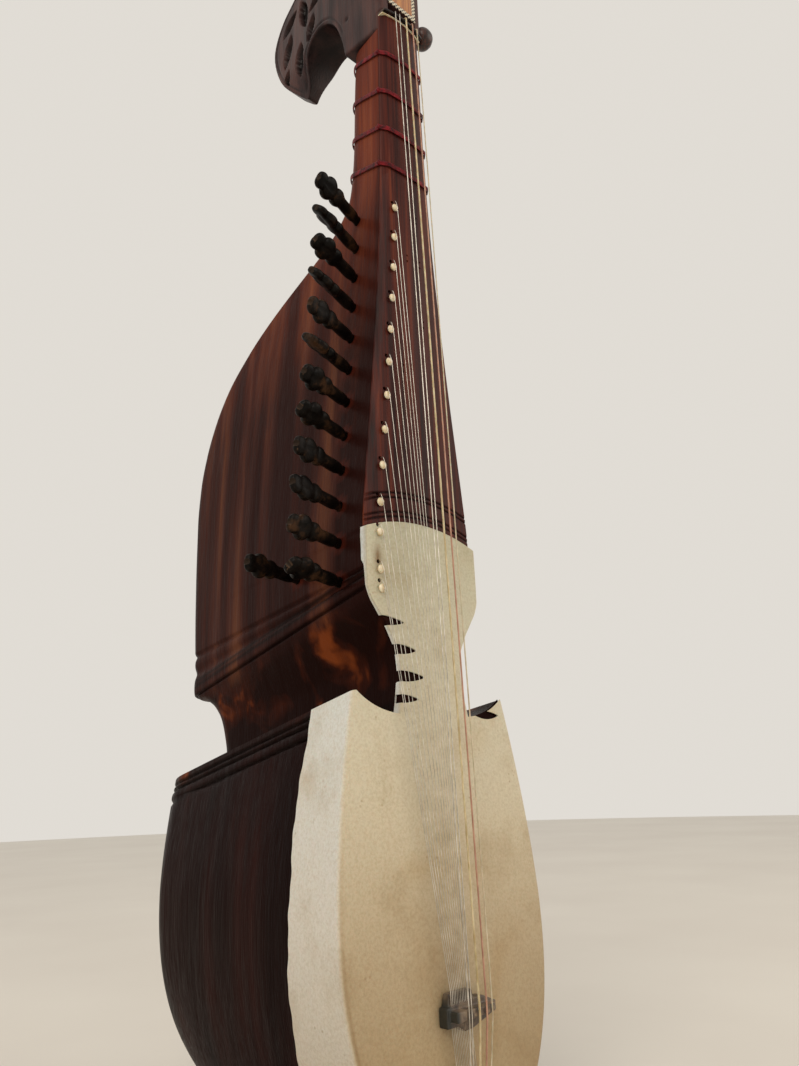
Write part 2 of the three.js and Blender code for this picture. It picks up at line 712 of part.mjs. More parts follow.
// ---- Assembly -----------------------------------------------------------------------------

const instrument = new THREE.Group();
instrument.position.y = -FOOT_DEPTH;
instrument.add(
  mesh('body', body(), carvedWood),
  mesh('fingerboard', fingerboard(), boardWood),
  mesh('skin', skin(), rawhide),
  mesh('headstock', headstock(), headWood),
  mesh('nut', nut(), bone),
  mesh('bridge', bridge(), horn),
  mesh('tailpiece', tailpiece(), darkWood),
);
for (let n = 1; n <= FRETS; n += 1) {
  instrument.add(mesh(`fret_${n}`, fret(fretHeight(n)), crimsonGut));
}
LONG_PEGS.forEach(([z, side], i) => {
  const peg = mesh(`long_peg_${i + 1}`, longPeg(side), darkWood);
  peg.position.set(0, LONG_PEG_Y, z);
  instrument.add(peg);
});
LONG_STRINGS.forEach((string, i) => {
  const material = i < 2 ? steel : gut;
  instrument.add(mesh(`long_string_${i + 1}`, longString(string, LONG_PEGS[i]), material));
});
stations.forEach((station, i) => {
  instrument.add(
    mesh(`sympathetic_peg_${two(i + 1)}`, sympatheticPeg(station), darkWood),
    mesh(`bone_saddle_${two(i + 1)}`, saddle(station), bone),
    mesh(`sympathetic_string_${two(i + 1)}`, sympatheticString(station, i), steel),
  );
});

export default instrument;
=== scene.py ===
# A rubab: a deep waisted lute carved from one block, with a rawhide belly, a stained neck with
# four tied frets, and a headstock that hooks back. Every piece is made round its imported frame.
# Points are worked out in millimetres from the playing face (Y) and the bottom end (Z), as a
# luthier measures, and to_frame turns them into the frame's metres.
import math

import bpy
import numpy as np
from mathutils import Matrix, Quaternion, Vector


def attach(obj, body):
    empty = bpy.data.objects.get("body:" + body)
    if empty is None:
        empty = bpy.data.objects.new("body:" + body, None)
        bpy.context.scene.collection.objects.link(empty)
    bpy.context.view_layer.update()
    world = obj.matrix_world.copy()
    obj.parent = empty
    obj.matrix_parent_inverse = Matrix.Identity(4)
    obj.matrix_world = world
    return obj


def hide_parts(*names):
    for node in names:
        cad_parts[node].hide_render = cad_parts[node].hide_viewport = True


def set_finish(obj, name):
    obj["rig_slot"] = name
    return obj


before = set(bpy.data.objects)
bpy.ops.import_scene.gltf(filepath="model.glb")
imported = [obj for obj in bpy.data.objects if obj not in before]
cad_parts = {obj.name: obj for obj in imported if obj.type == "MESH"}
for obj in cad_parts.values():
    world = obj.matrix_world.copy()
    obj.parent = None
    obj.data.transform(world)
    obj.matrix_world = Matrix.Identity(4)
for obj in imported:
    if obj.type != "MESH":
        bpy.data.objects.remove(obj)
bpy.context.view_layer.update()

# ---- Camera, light and floor --------------------------------------------------------------
# The instrument stands on a plain pale floor in a bright room. The camera stands low on its
# left and looks up along the side pegs. One big soft lamp is on the left and one on the right.


def linear(code, alpha=1.0):
    """An sRGB hex colour as the linear red, green, blue and alpha that shaders work in."""
    value = np.array([int(code[i:i + 2], 16) for i in (1, 3, 5)]) / 255
    curve = np.where(value <= 0.04045, value / 12.92, ((value + 0.055) / 1.055) ** 2.4)
    return (*curve, alpha)


camera = bpy.data.objects.new("camera", bpy.data.cameras.new("camera"))
camera.data.lens = 28.4
camera.data.sensor_width = 36
camera.data.clip_start = 0.01
camera.location = (-0.3536, -0.4272, 0.197)
looking = Vector((0.674, 0.6812, 0.2859))
roll = Quaternion((0, 0, 1), math.radians(-1.96))
camera.rotation_mode = "QUATERNION"
camera.rotation_quaternion = looking.to_track_quat("-Z", "Y") @ roll
bpy.context.scene.collection.objects.link(camera)
bpy.context.scene.camera = camera
bpy.context.scene.view_settings.view_transform = "Standard"

world = bpy.data.worlds.new("room")
world.use_nodes = True
world.node_tree.nodes["Background"].inputs["Color"].default_value = linear("#f1ece4")
world.node_tree.nodes["Background"].inputs["Strength"].default_value = 0.855
bpy.context.scene.world = world

LAMPS = [("left lamp", (-1.5, -0.9, 1.5), 1.1, 15), ("right lamp", (1.3, -1.6, 1.2), 1.4, 9)]
for name, place, size, watts in LAMPS:
    lamp = bpy.data.objects.new(name, bpy.data.lights.new(name, "AREA"))
    lamp.data.size = size
    lamp.data.energy = watts
    lamp.data.color = linear("#fff4e6")[:3]
    lamp.location = place
    aim = Vector((0, 0, 0.4)) - lamp.location
    lamp.rotation_mode = "QUATERNION"
    lamp.rotation_quaternion = aim.to_track_quat("-Z", "Y")
    bpy.context.scene.collection.objects.link(lamp)


def add(tree, kind, links=None, stops=None, **settings):
    """Adds one shader node. Links gives each input a value or another node's socket, stops
    are the places and colours of a colour ramp, and settings are the node's own options."""
    made = tree.nodes.new("ShaderNode" + kind)
    for key, value in settings.items():
        setattr(made, key, value)
    for key, value in (links or {}).items():
        if isinstance(value, bpy.types.NodeSocket):
            tree.links.new(value, made.inputs[key])
        else:
            made.inputs[key].default_value = value
    if stops:
        ends = made.color_ramp.elements
        while len(ends) < len(stops):
            ends.new(0.5)
        for end, (place, code) in zip(ends, stops):
            end.position = place
            end.color = linear(code)
    return made


def finish_of(name, **sockets):
    """A new material with its node tree and main shader, whose plain sockets are set here."""
    made = bpy.data.materials.new(name)
    made.use_nodes = True
    shader = made.node_tree.nodes["Principled BSDF"]
    for key, value in sockets.items():
        shader.inputs[key.replace("_", " ")].default_value = value
    return made, made.node_tree, shader


# Painted board: dead flat, very slightly mottled where the roller left it uneven.
floor_paint, tree, shader = finish_of("matt floor paint", Roughness=0.75)
where = add(tree, "TexCoord").outputs["Object"]
mottle = add(tree, "TexNoise", {"Vector": where, "Scale": 3.0, "Detail": 4.0})
shade = add(tree, "ValToRGB", {"Fac": mottle.outputs["Fac"]}, [(0.3, "#d9d3ca"), (0.7, "#dfdad1")])
tree.links.new(shade.outputs["Color"], shader.inputs["Base Color"])
turn = np.linspace(0, 2 * np.pi, 96, endpoint=False)
FLOOR_RADIUS = 4.0
rim = np.stack([np.cos(turn), np.sin(turn), 0 * turn], -1) * FLOOR_RADIUS
mesh = bpy.data.meshes.new("floor")
mesh.from_pydata(rim.tolist(), [], [list(range(96))])
mesh.materials.append(floor_paint)
floor = bpy.data.objects.new("floor", mesh)
bpy.context.scene.collection.objects.link(floor)

# ---- Carved body --------------------------------------------------------------------------
# Neck, upper chamber, waist and lower bowl are one block of mulberry, carved outside and
# hollowed from the front. Beads are cut round the chamber's lower edge and the bowl's upper
# edge. It is stained red-brown, nearly black on the bowl, and varnished.

FACE_DEPTH = 90
SKIN_THICK = 1.0
BOARD_BACK = 5.3
FACE_BEND = 300
FACE_LEAN = 0.058

# Height at the face, drop per mm of depth, half width, depth, radius of the round back.
CHAMBER = np.array([
    [226, 0.18, 28, 192, 20], [244, 0.18, 24.5, 192, 18], [256, 0.18, 23.3, 193, 18],
    [268, 0.18, 24.5, 196, 18], [280, 0.18, 30, 200, 19], [290, 0.18, 37, 207, 20],
    [299, 0.18, 43, 219, 20], [306, 0.18, 45, 236, 20], [316, 0.09, 45, 238, 20],
    [342, 0.05, 44.6, 240, 20], [370, 0, 42, 241, 20], [400, 0, 38.6, 241, 20],
    [430, 0, 35.2, 238, 20], [455, 0, 32.6, 232, 19], [480, 0, 30.2, 221, 18],
    [504, 0, 28, 204, 17], [526, 0, 26.2, 178, 16], [548, 0, 24.7, 138, 16],
    [560, 0, 24, 107, 17], [572, 0, 23.3, 80, 17], [584, 0, 22.7, 62, 18],
    [596, 0, 22.2, 53, 18], [612, 0, 21.6, 49, 18], [640, 0, 20.8, 46, 18],
    [690, 0, 20, 44, 17.5], [721, 0, 19.5, 42, 17],
])


def to_frame(points):
    """Millimetres from the face and the bottom end to the frame's metres."""
    return (np.asarray(points, float) - (0, FACE_DEPTH, 0)) / 1000


def through(x, xs, ys):
    """A smooth curve through the points xs, ys that never overshoots them. Each slope is the
    harmonic mean of its two neighbours' and zero at a turn, and each span is a cubic."""
    width = np.diff(xs)
    rise = np.diff(ys) / width
    both = rise[:-1] * rise[1:]
    total = np.where(both > 0, rise[:-1] + rise[1:], 1)
    slope = np.concatenate([rise[:1], np.where(both > 0, 2 * both / total, 0), rise[-1:]])
    i = np.clip(np.searchsorted(xs, x) - 1, 0, len(width) - 1)
    t = (x - xs[i]) / width[i]
    ends = (1 + 2 * t) * (1 - t) ** 2 * ys[i] + t * t * (3 - 2 * t) * ys[i + 1]
    lean = t * (1 - t) ** 2 * slope[i] - t * t * (1 - t) * slope[i + 1]
    return ends + lean * width[i]


def station(height, column):
    """One measure of the neck and chamber at any height."""
    return through(np.asarray(height, float), CHAMBER[:, 0], CHAMBER[:, column])


def face_y(z):
    """The playing face is flat above the bend and leans forward below it."""
    return -FACE_LEAN * np.maximum(0, FACE_BEND - z)


def ring(half, depth, radius, front):
    """A section of the neck as X and Y, a row for each height: a side that runs straight
    from the front corner until it touches the round back, the arc, and the other side."""
    centre = depth - radius
    reach = np.hypot(half, centre - front)
    lean = np.arctan2(half, centre - front) - np.arcsin(np.minimum(1, radius / reach))
    part = np.linspace(0, 1, 56, endpoint=False)
    side_x = half + (radius * np.cos(lean) - half) * part
    side_y = front + (centre + radius * np.sin(lean) - front) * part
    angle = lean + (np.pi - 2 * lean) * np.linspace(0, 1, 40)
    x = np.concatenate([side_x, radius * np.cos(angle), -side_x[:, ::-1]], 1)
    y = np.concatenate([side_y, centre + radius * np.sin(angle), side_y[:, ::-1]], 1)
    return x, y


def chamber_rings(height, grow, front):
    """The neck, chamber and waist as closed rings, larger all round by grow."""
    drop, half, depth, radius = (station(height, k)[:, None] for k in (1, 2, 3, 4))
    front = front[:, None] - grow
    x, y = ring(half + grow, depth + grow, radius + grow, front)
    across = np.linspace(-1, 1, 34)[1:-1]
    x = np.concatenate([x, (half + grow) * across], 1)
    y = np.concatenate([y, front + 0 * x[:, :32]], 1)
    return np.stack([x, y, height[:, None] - drop * y], -1)


BOWL_HALF = 76
BOWL_WIDEST = 130
SHOULDER = 245
LEDGE_SLOPE = 0.18
BACK_CENTRE = 196
BACK_RADIUS = 49
BACK_TOUCH = 202


def bowl_rings(depth, grow):
    """The lower bowl as outlines that shrink from the face to the round back. Each runs up
    the right side to the shoulder's tip, over the dip between the tips, down the left side
    and round the bottom, which is a superellipse."""
    y = depth[:, None]
    round_half = np.sqrt(np.maximum(0, BACK_RADIUS ** 2 - (y - BACK_CENTRE) ** 2))
    touch_half = math.sqrt(BACK_RADIUS ** 2 - (BACK_TOUCH - BACK_CENTRE) ** 2)
    straight = BOWL_HALF + (touch_half - BOWL_HALF) * y / BACK_TOUCH
    half = np.where(y < BACK_TOUCH, straight, round_half)
    deeper = 116 + 17 * np.sin(np.pi / 2 * np.minimum(1, y / 50))
    part = np.clip((y - 80) / (BACK_CENTRE + BACK_RADIUS - 80), 0, 1)
    drop = np.where(y < 80, deeper, 133 * (1 - part ** 2.8) ** (1 / 2.8))
    edge = 3 * (1 - np.sqrt(1 - np.maximum(0, 1 - y / 3) ** 2))
    half, drop = half - edge + grow, drop - edge + grow
    tip_z = SHOULDER - LEDGE_SLOPE * y
    up = np.concatenate([np.linspace(0, 0.82, 26, endpoint=False), np.linspace(0.82, 1, 46)])
    side_x = half * (1 - 0.21 * up ** 1.6)
    side_z = BOWL_WIDEST + (tip_z - BOWL_WIDEST) * up
    over = np.linspace(1, -1, 62)[1:-1]
    dip = 12 * np.clip(1 - y / 60, 0.15, 1) * (1 - over ** 4)
    angle = np.linspace(0, np.pi, 92)[1:-1]
    bottom_x = -half * np.sign(np.cos(angle)) * np.abs(np.cos(angle)) ** (2 / 2.2)
    bottom_z = BOWL_WIDEST - drop * np.sin(angle) ** (2 / 2.2)
    x = np.concatenate([side_x, side_x[:, -1:] * over, -side_x[:, ::-1], bottom_x], 1)
    z = np.concatenate([side_z, tip_z - dip, side_z[:, ::-1], bottom_z], 1)
    lean = face_y(z) * np.maximum(0, 1 - y / 60)
    front = (SKIN_THICK + 0.3 - grow) * np.maximum(0, 1 - y / 20)
    return np.stack([x, y + lean + front, np.maximum(z, -grow)], -1)


def push(grid, amount):
    """Moves each point of a grid of closed rings along the surface's normal. The normal is
    the cross product of the steps along and round the grid, turned to point outwards."""
    along = np.gradient(grid, axis=0)
    around = np.roll(grid, -1, 1) - np.roll(grid, 1, 1)
    normal = np.cross(around, along)
    normal /= np.linalg.norm(normal, axis=2, keepdims=True) + 1e-9
    outwards = np.sum(normal * (grid - grid.mean(1, keepdims=True)))
    return grid + normal * np.sign(outwards) * amount[..., None]


def piece(name, verts, faces, material, slot, body="instrument", replaces=(), crisp=35):
    """Puts points in millimetres and faces into a mesh whose faces point out, and hangs it on
    its body. Edges sharper than crisp degrees stay sharp, and the rest are shaded smooth."""
    verts, faces = np.asarray(verts, float), [tuple(face) for face in faces]
    halves = [(face[0], face[2], face[-1]) for face in faces]
    corners = np.array([face[:3] for face in faces] + halves)
    a, b, c = (verts[corners[:, k]] for k in range(3))
    if np.sum(a * np.cross(b, c)) < 0:
        faces = [face[::-1] for face in faces]
    mesh = bpy.data.meshes.new(name)
    mesh.from_pydata(to_frame(verts).tolist(), [], faces)
    made = bpy.data.objects.new(name, mesh)
    bpy.context.scene.collection.objects.link(made)
    dress(made, material, crisp)
    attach(made, body)
    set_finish(made, slot)
    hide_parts(*replaces)
    return made


def dress(made, material, crisp=35):
    """Gives a mesh its material and its smooth and sharp edges."""
    made.data.materials.clear()
    made.data.materials.append(material)
    made.data.shade_smooth()
    made.data.set_sharp_from_angle(angle=math.radians(crisp))


def rings_to_mesh(grid):
    """Points and faces of a grid of closed rings, rows by columns. The first and the last
    ring are each filled by triangles to their middle."""
    rows, columns = grid.shape[:2]
    index = np.arange(rows * columns).reshape(rows, columns)
    beside = np.roll(index, -1, 1)
    quads = np.stack([index[:-1], beside[:-1], beside[1:], index[1:]], -1).reshape(-1, 4)
    first, last = np.full(columns, rows * columns), np.full(columns, rows * columns + 1)
    caps = [np.stack([beside[0], index[0], first], -1), np.stack([index[-1], beside[-1], last], -1)]
    verts = np.concatenate([grid.reshape(-1, 3), grid[:1].mean(1), grid[-1:].mean(1)])
    return verts, quads.tolist() + caps[0].tolist() + caps[1].tolist()


def joined(*shapes):
    """Several points-and-faces shapes as one, each still its own closed surface."""
    verts, faces, count = [], [], 0
    for points, sides in shapes:
        verts.append(points)
        faces += [tuple(i + count for i in side) for side in sides]
        count += len(points)
    return np.concatenate(verts), faces


def block(x, y, z):
    """A closed bar of four-cornered rows. The low and high X, Y and Z are each one number, or
    an array with a number for each row, and a row is level where its low and high Z agree."""
    (x0, x1), (y0, y1), (z0, z1) = x, y, z
    corners = [(x0, y0, z0), (x1, y0, z0), (x1, y1, z1), (x0, y1, z1)]
    rows = [np.stack(np.broadcast_arrays(*[np.asarray(v, float) for v in c]), -1) for c in corners]
    return rings_to_mesh(np.stack(rows, 1))


def rod(start, end, radius, sides=16):
    """A plain round rod between two points."""
    start, end = np.asarray(start, float), np.asarray(end, float)
    along = (end - start) / np.linalg.norm(end - start)
    aside = np.cross(along, (0.31, 0.27, 0.91))
    aside /= np.linalg.norm(aside)
    turn = np.linspace(0, 2 * np.pi, sides, endpoint=False)[:, None]
    circle = radius * (np.cos(turn) * aside + np.sin(turn) * np.cross(along, aside))
    return rings_to_mesh(np.stack([start + circle, end + circle]))


def apply_modifiers(made):
    """Makes the shape that a piece's modifiers give into its own mesh."""
    shaped = made.evaluated_get(bpy.context.evaluated_depsgraph_get())
    made.data = bpy.data.meshes.new_from_object(shaped)
    made.modifiers.clear()


def carve(made, shape, how="DIFFERENCE"):
    """Cuts made by a shape, joins it to that, or keeps what the two share."""
    tool = piece("tool", *shape, made.data.materials[0], made["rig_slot"])
    cut = made.modifiers.new("carve", "BOOLEAN")
    cut.solver = "MANIFOLD"
    cut.operation = how
    cut.object = tool
    apply_modifiers(made)
    bpy.data.objects.remove(tool)


def points_of(made):
    """A mesh's points in millimetres from the face and the bottom end."""
    found = np.zeros(len(made.data.vertices) * 3)
    made.data.vertices.foreach_get("co", found)
    return found.reshape(-1, 3) * 1000 + (0, FACE_DEPTH, 0)


def mark(made, name, values):
    """Stores one number for each point, for a material to read."""
    store = made.data.attributes.new(name, "FLOAT", "POINT")
    store.data.foreach_set("value", np.asarray(values, np.float32))


def step_between(value, low, high):
    """0 below low, 1 above high, and a smooth rise between."""
    part = np.clip((value - low) / (high - low), 0, 1)
    return part * part * (3 - 2 * part)


def grooves(distance, places, width, depth):
    """Round-bottomed grooves at given places along a distance, as depths below zero."""
    return -depth * sum(np.exp(-((distance - place) / width) ** 2) for place in places)


def streaks(tree, width, length, detail=3.0, start=0.0):
    """Noise drawn out along the wood: its blotches are about width by length millimetres."""
    where = add(tree, "TexCoord").outputs["Object"]
    scale = (1000 / width, 1000 / width, 1000 / length)
    place = add(tree, "Mapping", {"Vector": where, "Location": (start,) * 3, "Scale": scale})
    noise = add(tree, "TexNoise", {"Vector": place.outputs[0], "Scale": 1.0, "Detail": detail})
    return noise.outputs["Fac"]


# Mulberry under an oil stain and shellac: open pores run up the block, the stain has taken in
# streaks 5 to 15 mm wide, and the shellac gives a broken satin gloss.
mulberry, tree, shader = finish_of(
    "stained mulberry, shellac finish", IOR=1.5, Specular_IOR_Level=0.025,
    Specular_Tint=linear("#a86450"), Coat_Weight=0.008, Coat_Roughness=0.2)
broad = streaks(tree, 26, 420)
narrow = streaks(tree, 1.6, 60, start=4.0)
chamber_tone = add(tree, "Math", {0: narrow, 1: 0.2, 2: broad}, operation="MULTIPLY_ADD")
where = add(tree, "TexCoord").outputs["Object"]
axes = add(tree, "SeparateXYZ", {"Vector": where})
# Painted sheen: the chamber is painted lighter towards its back and darker towards the pegs.
painted_light_to_back = add(tree, "MapRange", {"Value": axes.outputs["Y"], 1: 0.02, 2: 0.135, 3: -0.1, 4: 0.0})
tone_with_painted_light = add(tree, "Math", {0: chamber_tone.outputs[0], 1: painted_light_to_back.outputs[0]}, operation="ADD")
chamber_shade = add(tree, "ValToRGB", {"Fac": tone_with_painted_light.outputs[0]}, [
    (0.46, "#26110e"), (0.54, "#301611"), (0.62, "#3f2019"), (0.74, "#5a3423")])
neck_shade = add(tree, "ValToRGB", {"Fac": chamber_tone.outputs[0]}, [
    (0.48, "#451f18"), (0.6, "#6a3122"), (0.76, "#905033")])
on_neck = add(tree, "MapRange", {"Value": axes.outputs["Z"], 1: 0.46, 2: 0.62, 4: 0.9})
upper_part = add(tree, "Mix", {0: on_neck.outputs[0], 6: chamber_shade.outputs[0],
                               7: neck_shade.outputs[0]}, data_type="RGBA")
bowl_shade = add(tree, "ValToRGB", {"Fac": chamber_tone.outputs[0]}, [
    (0.45, "#120403"), (0.65, "#1b0705"), (0.8, "#270d09")])
slanted = add(tree, "Math", {0: axes.outputs["Y"], 1: LEDGE_SLOPE, 2: axes.outputs["Z"]},
              operation="MULTIPLY_ADD")
SLANT_SHIFT = FACE_DEPTH / 1000 * LEDGE_SLOPE
above_bowl = add(tree, "MapRange", {"Value": slanted.outputs[0], 1: 0.236 - SLANT_SHIFT,
                                    2: 0.246 - SLANT_SHIFT}, interpolation_type="SMOOTHSTEP")
in_chamber = add(tree, "MapRange", {"Value": slanted.outputs[0], 1: 0.292 - SLANT_SHIFT,
                                    2: 0.306 - SLANT_SHIFT}, interpolation_type="SMOOTHSTEP")
# The waist cove is stained near black, and orange patches are painted into it as a glow of light.
painted_glow = add(tree, "TexNoise", {"Vector": where, "Scale": 34.0, "Detail": 3.0, "Distortion": 0.4})
cove_stain_and_glow = add(tree, "ValToRGB", {"Fac": painted_glow.outputs["Fac"]}, [
    (0.5, "#1c0b08"), (0.6, "#34150c"), (0.72, "#7a3b1a")])
low_part = add(tree, "Mix", {0: above_bowl.outputs[0], 6: bowl_shade.outputs[0],
                             7: cove_stain_and_glow.outputs[0]}, data_type="RGBA")
whole = add(tree, "Mix", {0: in_chamber.outputs[0], 6: low_part.outputs[2],
                          7: upper_part.outputs[2]}, data_type="RGBA")
rub = add(tree, "Attribute", attribute_name="rub")
rubbed = add(tree, "Mix", {0: rub.outputs["Fac"], 6: whole.outputs[2], 7: linear("#562318")},
             data_type="RGBA")
# Painted shade: the bead grooves go near black.
grime = add(tree, "Attribute", attribute_name="grime")
shaded_in_grooves = add(tree, "Mix", {0: grime.outputs["Fac"], 6: rubbed.outputs[2], 7: linear("#0a0504")},
            data_type="RGBA")
tree.links.new(shaded_in_grooves.outputs[2], shader.inputs["Base Color"])
gloss = add(tree, "MapRange", {"Value": narrow, 1: 0.35, 2: 0.7, 3: 0.3, 4: 0.52})
tree.links.new(gloss.outputs[0], shader.inputs["Roughness"])
pores = add(tree, "Bump", {"Height": streaks(tree, 0.9, 18, 4.0, 9.0), "Strength": 0.35,
                           "Distance": 0.0006})
scraped = add(tree, "Bump", {"Height": streaks(tree, 14, 60, 2.0, 2.0), "Strength": 0.5,
                             "Distance": 0.0015, "Normal": pores.outputs[0]})
tree.links.new(scraped.outputs[0], shader.inputs["Normal"])

PEG_TURN = math.radians(19.4)
PEG_OUT = np.array([-math.cos(PEG_TURN), -math.sin(PEG_TURN), 0])
PEG_PITCH = 23.5
peg_z = np.append(570 - PEG_PITCH * np.arange(12), 323.0)
peg_y = np.append(np.full(12, 30.0), 76.0)
peg_foot = np.stack([0.09 * peg_y - station(peg_z, 2), peg_y, peg_z], -1)
PEG_RADIUS = 3.1

height = np.concatenate([np.linspace(226, 292, 46), np.linspace(292.5, 321, 72),
                         np.linspace(322, 338, 12), np.linspace(339, 720.9, 165)])
front = np.where(height > 338.5, BOARD_BACK, SKIN_THICK + 0.3 + face_y(height))
chamber = chamber_rings(height, 0, front)
beads = grooves(height, (304.6, 311.4, 315.2), 0.95, 1.5) + 0.5 * np.exp(-((height - 308) / 2.4) ** 2)
chamber = push(chamber, beads[:, None] * step_between(chamber[..., 1], 2, 6))
depth = np.concatenate([[0, 0.1, 0.35, 0.8, 1.4, 2.1, 3, 4.5, 7], np.linspace(10, 190, 62),
                        BACK_CENTRE + BACK_RADIUS * np.sin(np.linspace(-0.04, 1.535, 40))])
bowl = bowl_rings(depth, 0)
below_tip = SHOULDER - LEDGE_SLOPE * depth[:, None] - bowl[..., 2]
on_side = step_between(bowl[..., 1], 2, 8) * (np.arange(bowl.shape[1]) % 204 < 72)
on_side += step_between(bowl[..., 1], 2, 8) * np.isin(np.arange(bowl.shape[1]), np.arange(132, 204))
bowl = push(bowl, np.clip(on_side, 0, 1) * (grooves(below_tip, (4.5, 8.5, 15.5), 0.95, 1.5)
                                            + 0.5 * np.exp(-((below_tip - 12) / 2.6) ** 2)))
carved_body = piece("carved_body", *rings_to_mesh(chamber), mulberry, "carved_wood",
                    replaces=["body"])
carve(carved_body, rings_to_mesh(bowl), "UNION")
bores = [rod(foot - 16 * PEG_OUT, foot + 14 * PEG_OUT, PEG_RADIUS + 0.2, 28) for foot in peg_foot]
carve(carved_body, joined(*bores))
spot = points_of(carved_body)
away = spot[:, None, :] - peg_foot
from_peg = np.linalg.norm(away - (away @ PEG_OUT)[..., None] * PEG_OUT, axis=2).min(1)
mark(carved_body, "rub", 0.5 * (1 - step_between(from_peg, 5.5, 7.5)) * (spot[:, 0] < 0))
# The bead grooves are marked for their painted shade.
in_groove = [np.exp(-((spot[:, 2] + LEDGE_SLOPE * spot[:, 1] - place) / 1.6) ** 2)
             for place in (304.6, 311.4, 315.2, 240.5, 236.5, 229.5)]
mark(carved_body, "grime", 0.75 * np.max(in_groove, 0) * step_between(spot[:, 1], 2, 6))
dress(carved_body, mulberry)

# ---- Rawhide belly ------------------------------------------------------------------------
# One goat hide, scraped, stretched wet over the bowl, waist and lower chamber, and glued down
# the sides by about 40 mm with a hand-cut edge. Leaf-shaped slits let it bend into the left
# waist. Dry, it is stiff and cream, and its wrap over the sides is painted whiter as painted light.

GLUE_LINE = 0.25
SKIN_END_Z = 217
SKIN_END_RADIUS = 130


def hide(grow):
    """The body's outline under or over the hide: chamber and waist joined to the bowl."""
    z = np.concatenate([np.linspace(226, 250, 12), np.linspace(252, 352, 90)])
    rings = chamber_rings(z, grow, SKIN_THICK + 0.3 + face_y(z))
    made = piece("hide", *rings_to_mesh(rings), mulberry, "rawhide")
    carve(made, rings_to_mesh(bowl_rings(depth, grow)), "UNION")
    return made


def as_shape(made):
    """Takes a mesh back as points in millimetres and faces, and removes its object."""
    shape = points_of(made), [tuple(face.vertices) for face in made.data.polygons]
    bpy.data.objects.remove(made)
    return shape


# Rawhide: dried collagen, matt and slightly see-through, with fibres that show as a cloudy
# mottle 5 to 60 mm across, hair pits, and yellow-brown stains where hands and glue were.
rawhide, tree, shader = finish_of("scraped goat rawhide", IOR=1.46, Subsurface_Weight=0.08,
                                  Subsurface_Scale=0.004, Sheen_Weight=0.1)
where = add(tree, "TexCoord").outputs["Object"]
axes = add(tree, "SeparateXYZ", {"Vector": where})
up_face = add(tree, "MapRange", {"Value": axes.outputs["Z"], 1: 0.02, 2: 0.34})
tone = add(tree, "ValToRGB", {"Fac": up_face.outputs[0]}, [
    (0.0, "#bda67c"), (0.3, "#cdbd9f"), (0.62, "#d6ceb8"), (1.0, "#c6c4ae")])
# The wrap over the sides is painted whiter and greyer, as painted light.
side = add(tree, "Attribute", attribute_name="side")
lit_side_tone = add(tree, "ValToRGB", {"Fac": up_face.outputs[0]}, [
    (0.0, "#bbae99"), (0.35, "#d3cec5"), (0.8, "#d8dbda")])
base = add(tree, "Mix", {0: side.outputs["Fac"], 6: tone.outputs[0], 7: lit_side_tone.outputs[0]},
           data_type="RGBA")
cloud = add(tree, "TexNoise", {"Vector": where, "Scale": 22.0, "Detail": 6.0, "Roughness": 0.62})
clouded = add(tree, "ValToRGB", {"Fac": cloud.outputs["Fac"]}, [
    (0.3, "#c9b489"), (0.5, "#fffdf6"), (0.75, "#ffffff")])
first = add(tree, "Mix", {0: 0.45, 6: base.outputs[2], 7: clouded.outputs[0]},
            data_type="RGBA", blend_type="MULTIPLY")
stain = add(tree, "TexNoise", {"Vector": where, "Scale": 9.0, "Detail": 5.0, "Distortion": 1.2})
stained = add(tree, "ValToRGB", {"Fac": stain.outputs["Fac"]}, [
    (0.55, "#ffffff"), (0.68, "#dcc08a"), (0.8, "#c8a468")])
second = add(tree, "Mix", {0: 0.4, 6: first.outputs[2], 7: stained.outputs[0]},
             data_type="RGBA", blend_type="MULTIPLY")
pits = add(tree, "TexVoronoi", {"Vector": where, "Scale": 260.0})
pit_spots = add(tree, "MapRange", {"Value": pits.outputs["Distance"], 1: 0.1, 2: 0.24, 3: 0.5,
                                   4: 0.0})
sparse = add(tree, "TexNoise", {"Vector": where, "Scale": 60.0, "Detail": 2.0})
sparse_spots = add(tree, "MapRange", {"Value": sparse.outputs["Fac"], 1: 0.58, 2: 0.7})
spots = add(tree, "Math", {0: pit_spots.outputs[0], 1: sparse_spots.outputs[0]},
            operation="MULTIPLY")
specked = add(tree, "Mix", {0: spots.outputs[0], 6: second.outputs[2], 7: linear("#8f7448")},
              data_type="RGBA")
worn = add(tree, "Attribute", attribute_name="worn")
edge_tone = add(tree, "Mix", {0: worn.outputs["Fac"], 6: specked.outputs[2], 7: linear("#7d6038")},
                data_type="RGBA")
rough = add(tree, "MapRange", {"Value": cloud.outputs["Fac"], 1: 0.3, 2: 0.7, 3: 0.5, 4: 0.72})
tree.links.new(rough.outputs[0], shader.inputs["Roughness"])
flecks = add(tree, "TexNoise", {"Vector": where, "Scale": 620.0, "Detail": 5.0, "Roughness": 0.7})
fleck_tone = add(tree, "ValToRGB", {"Fac": flecks.outputs["Fac"]}, [
    (0.36, "#c2b08c"), (0.58, "#ffffff")])
flecked = add(tree, "Mix", {0: 0.3, 6: edge_tone.outputs[2], 7: fleck_tone.outputs[0]},
              data_type="RGBA", blend_type="MULTIPLY")
tree.links.new(flecked.outputs[2], shader.inputs["Base Color"])
fibre = add(tree, "TexNoise", {"Vector": where, "Scale": 900.0, "Detail": 3.0})
grained = add(tree, "Bump", {"Height": fibre.outputs["Fac"], "Strength": 0.3, "Distance": 0.0004})
cockle = add(tree, "Bump", {"Height": cloud.outputs["Fac"], "Strength": 0.35, "Distance": 0.002,
                            "Normal": grained.outputs[0]})
tree.links.new(cockle.outputs[0], shader.inputs["Normal"])

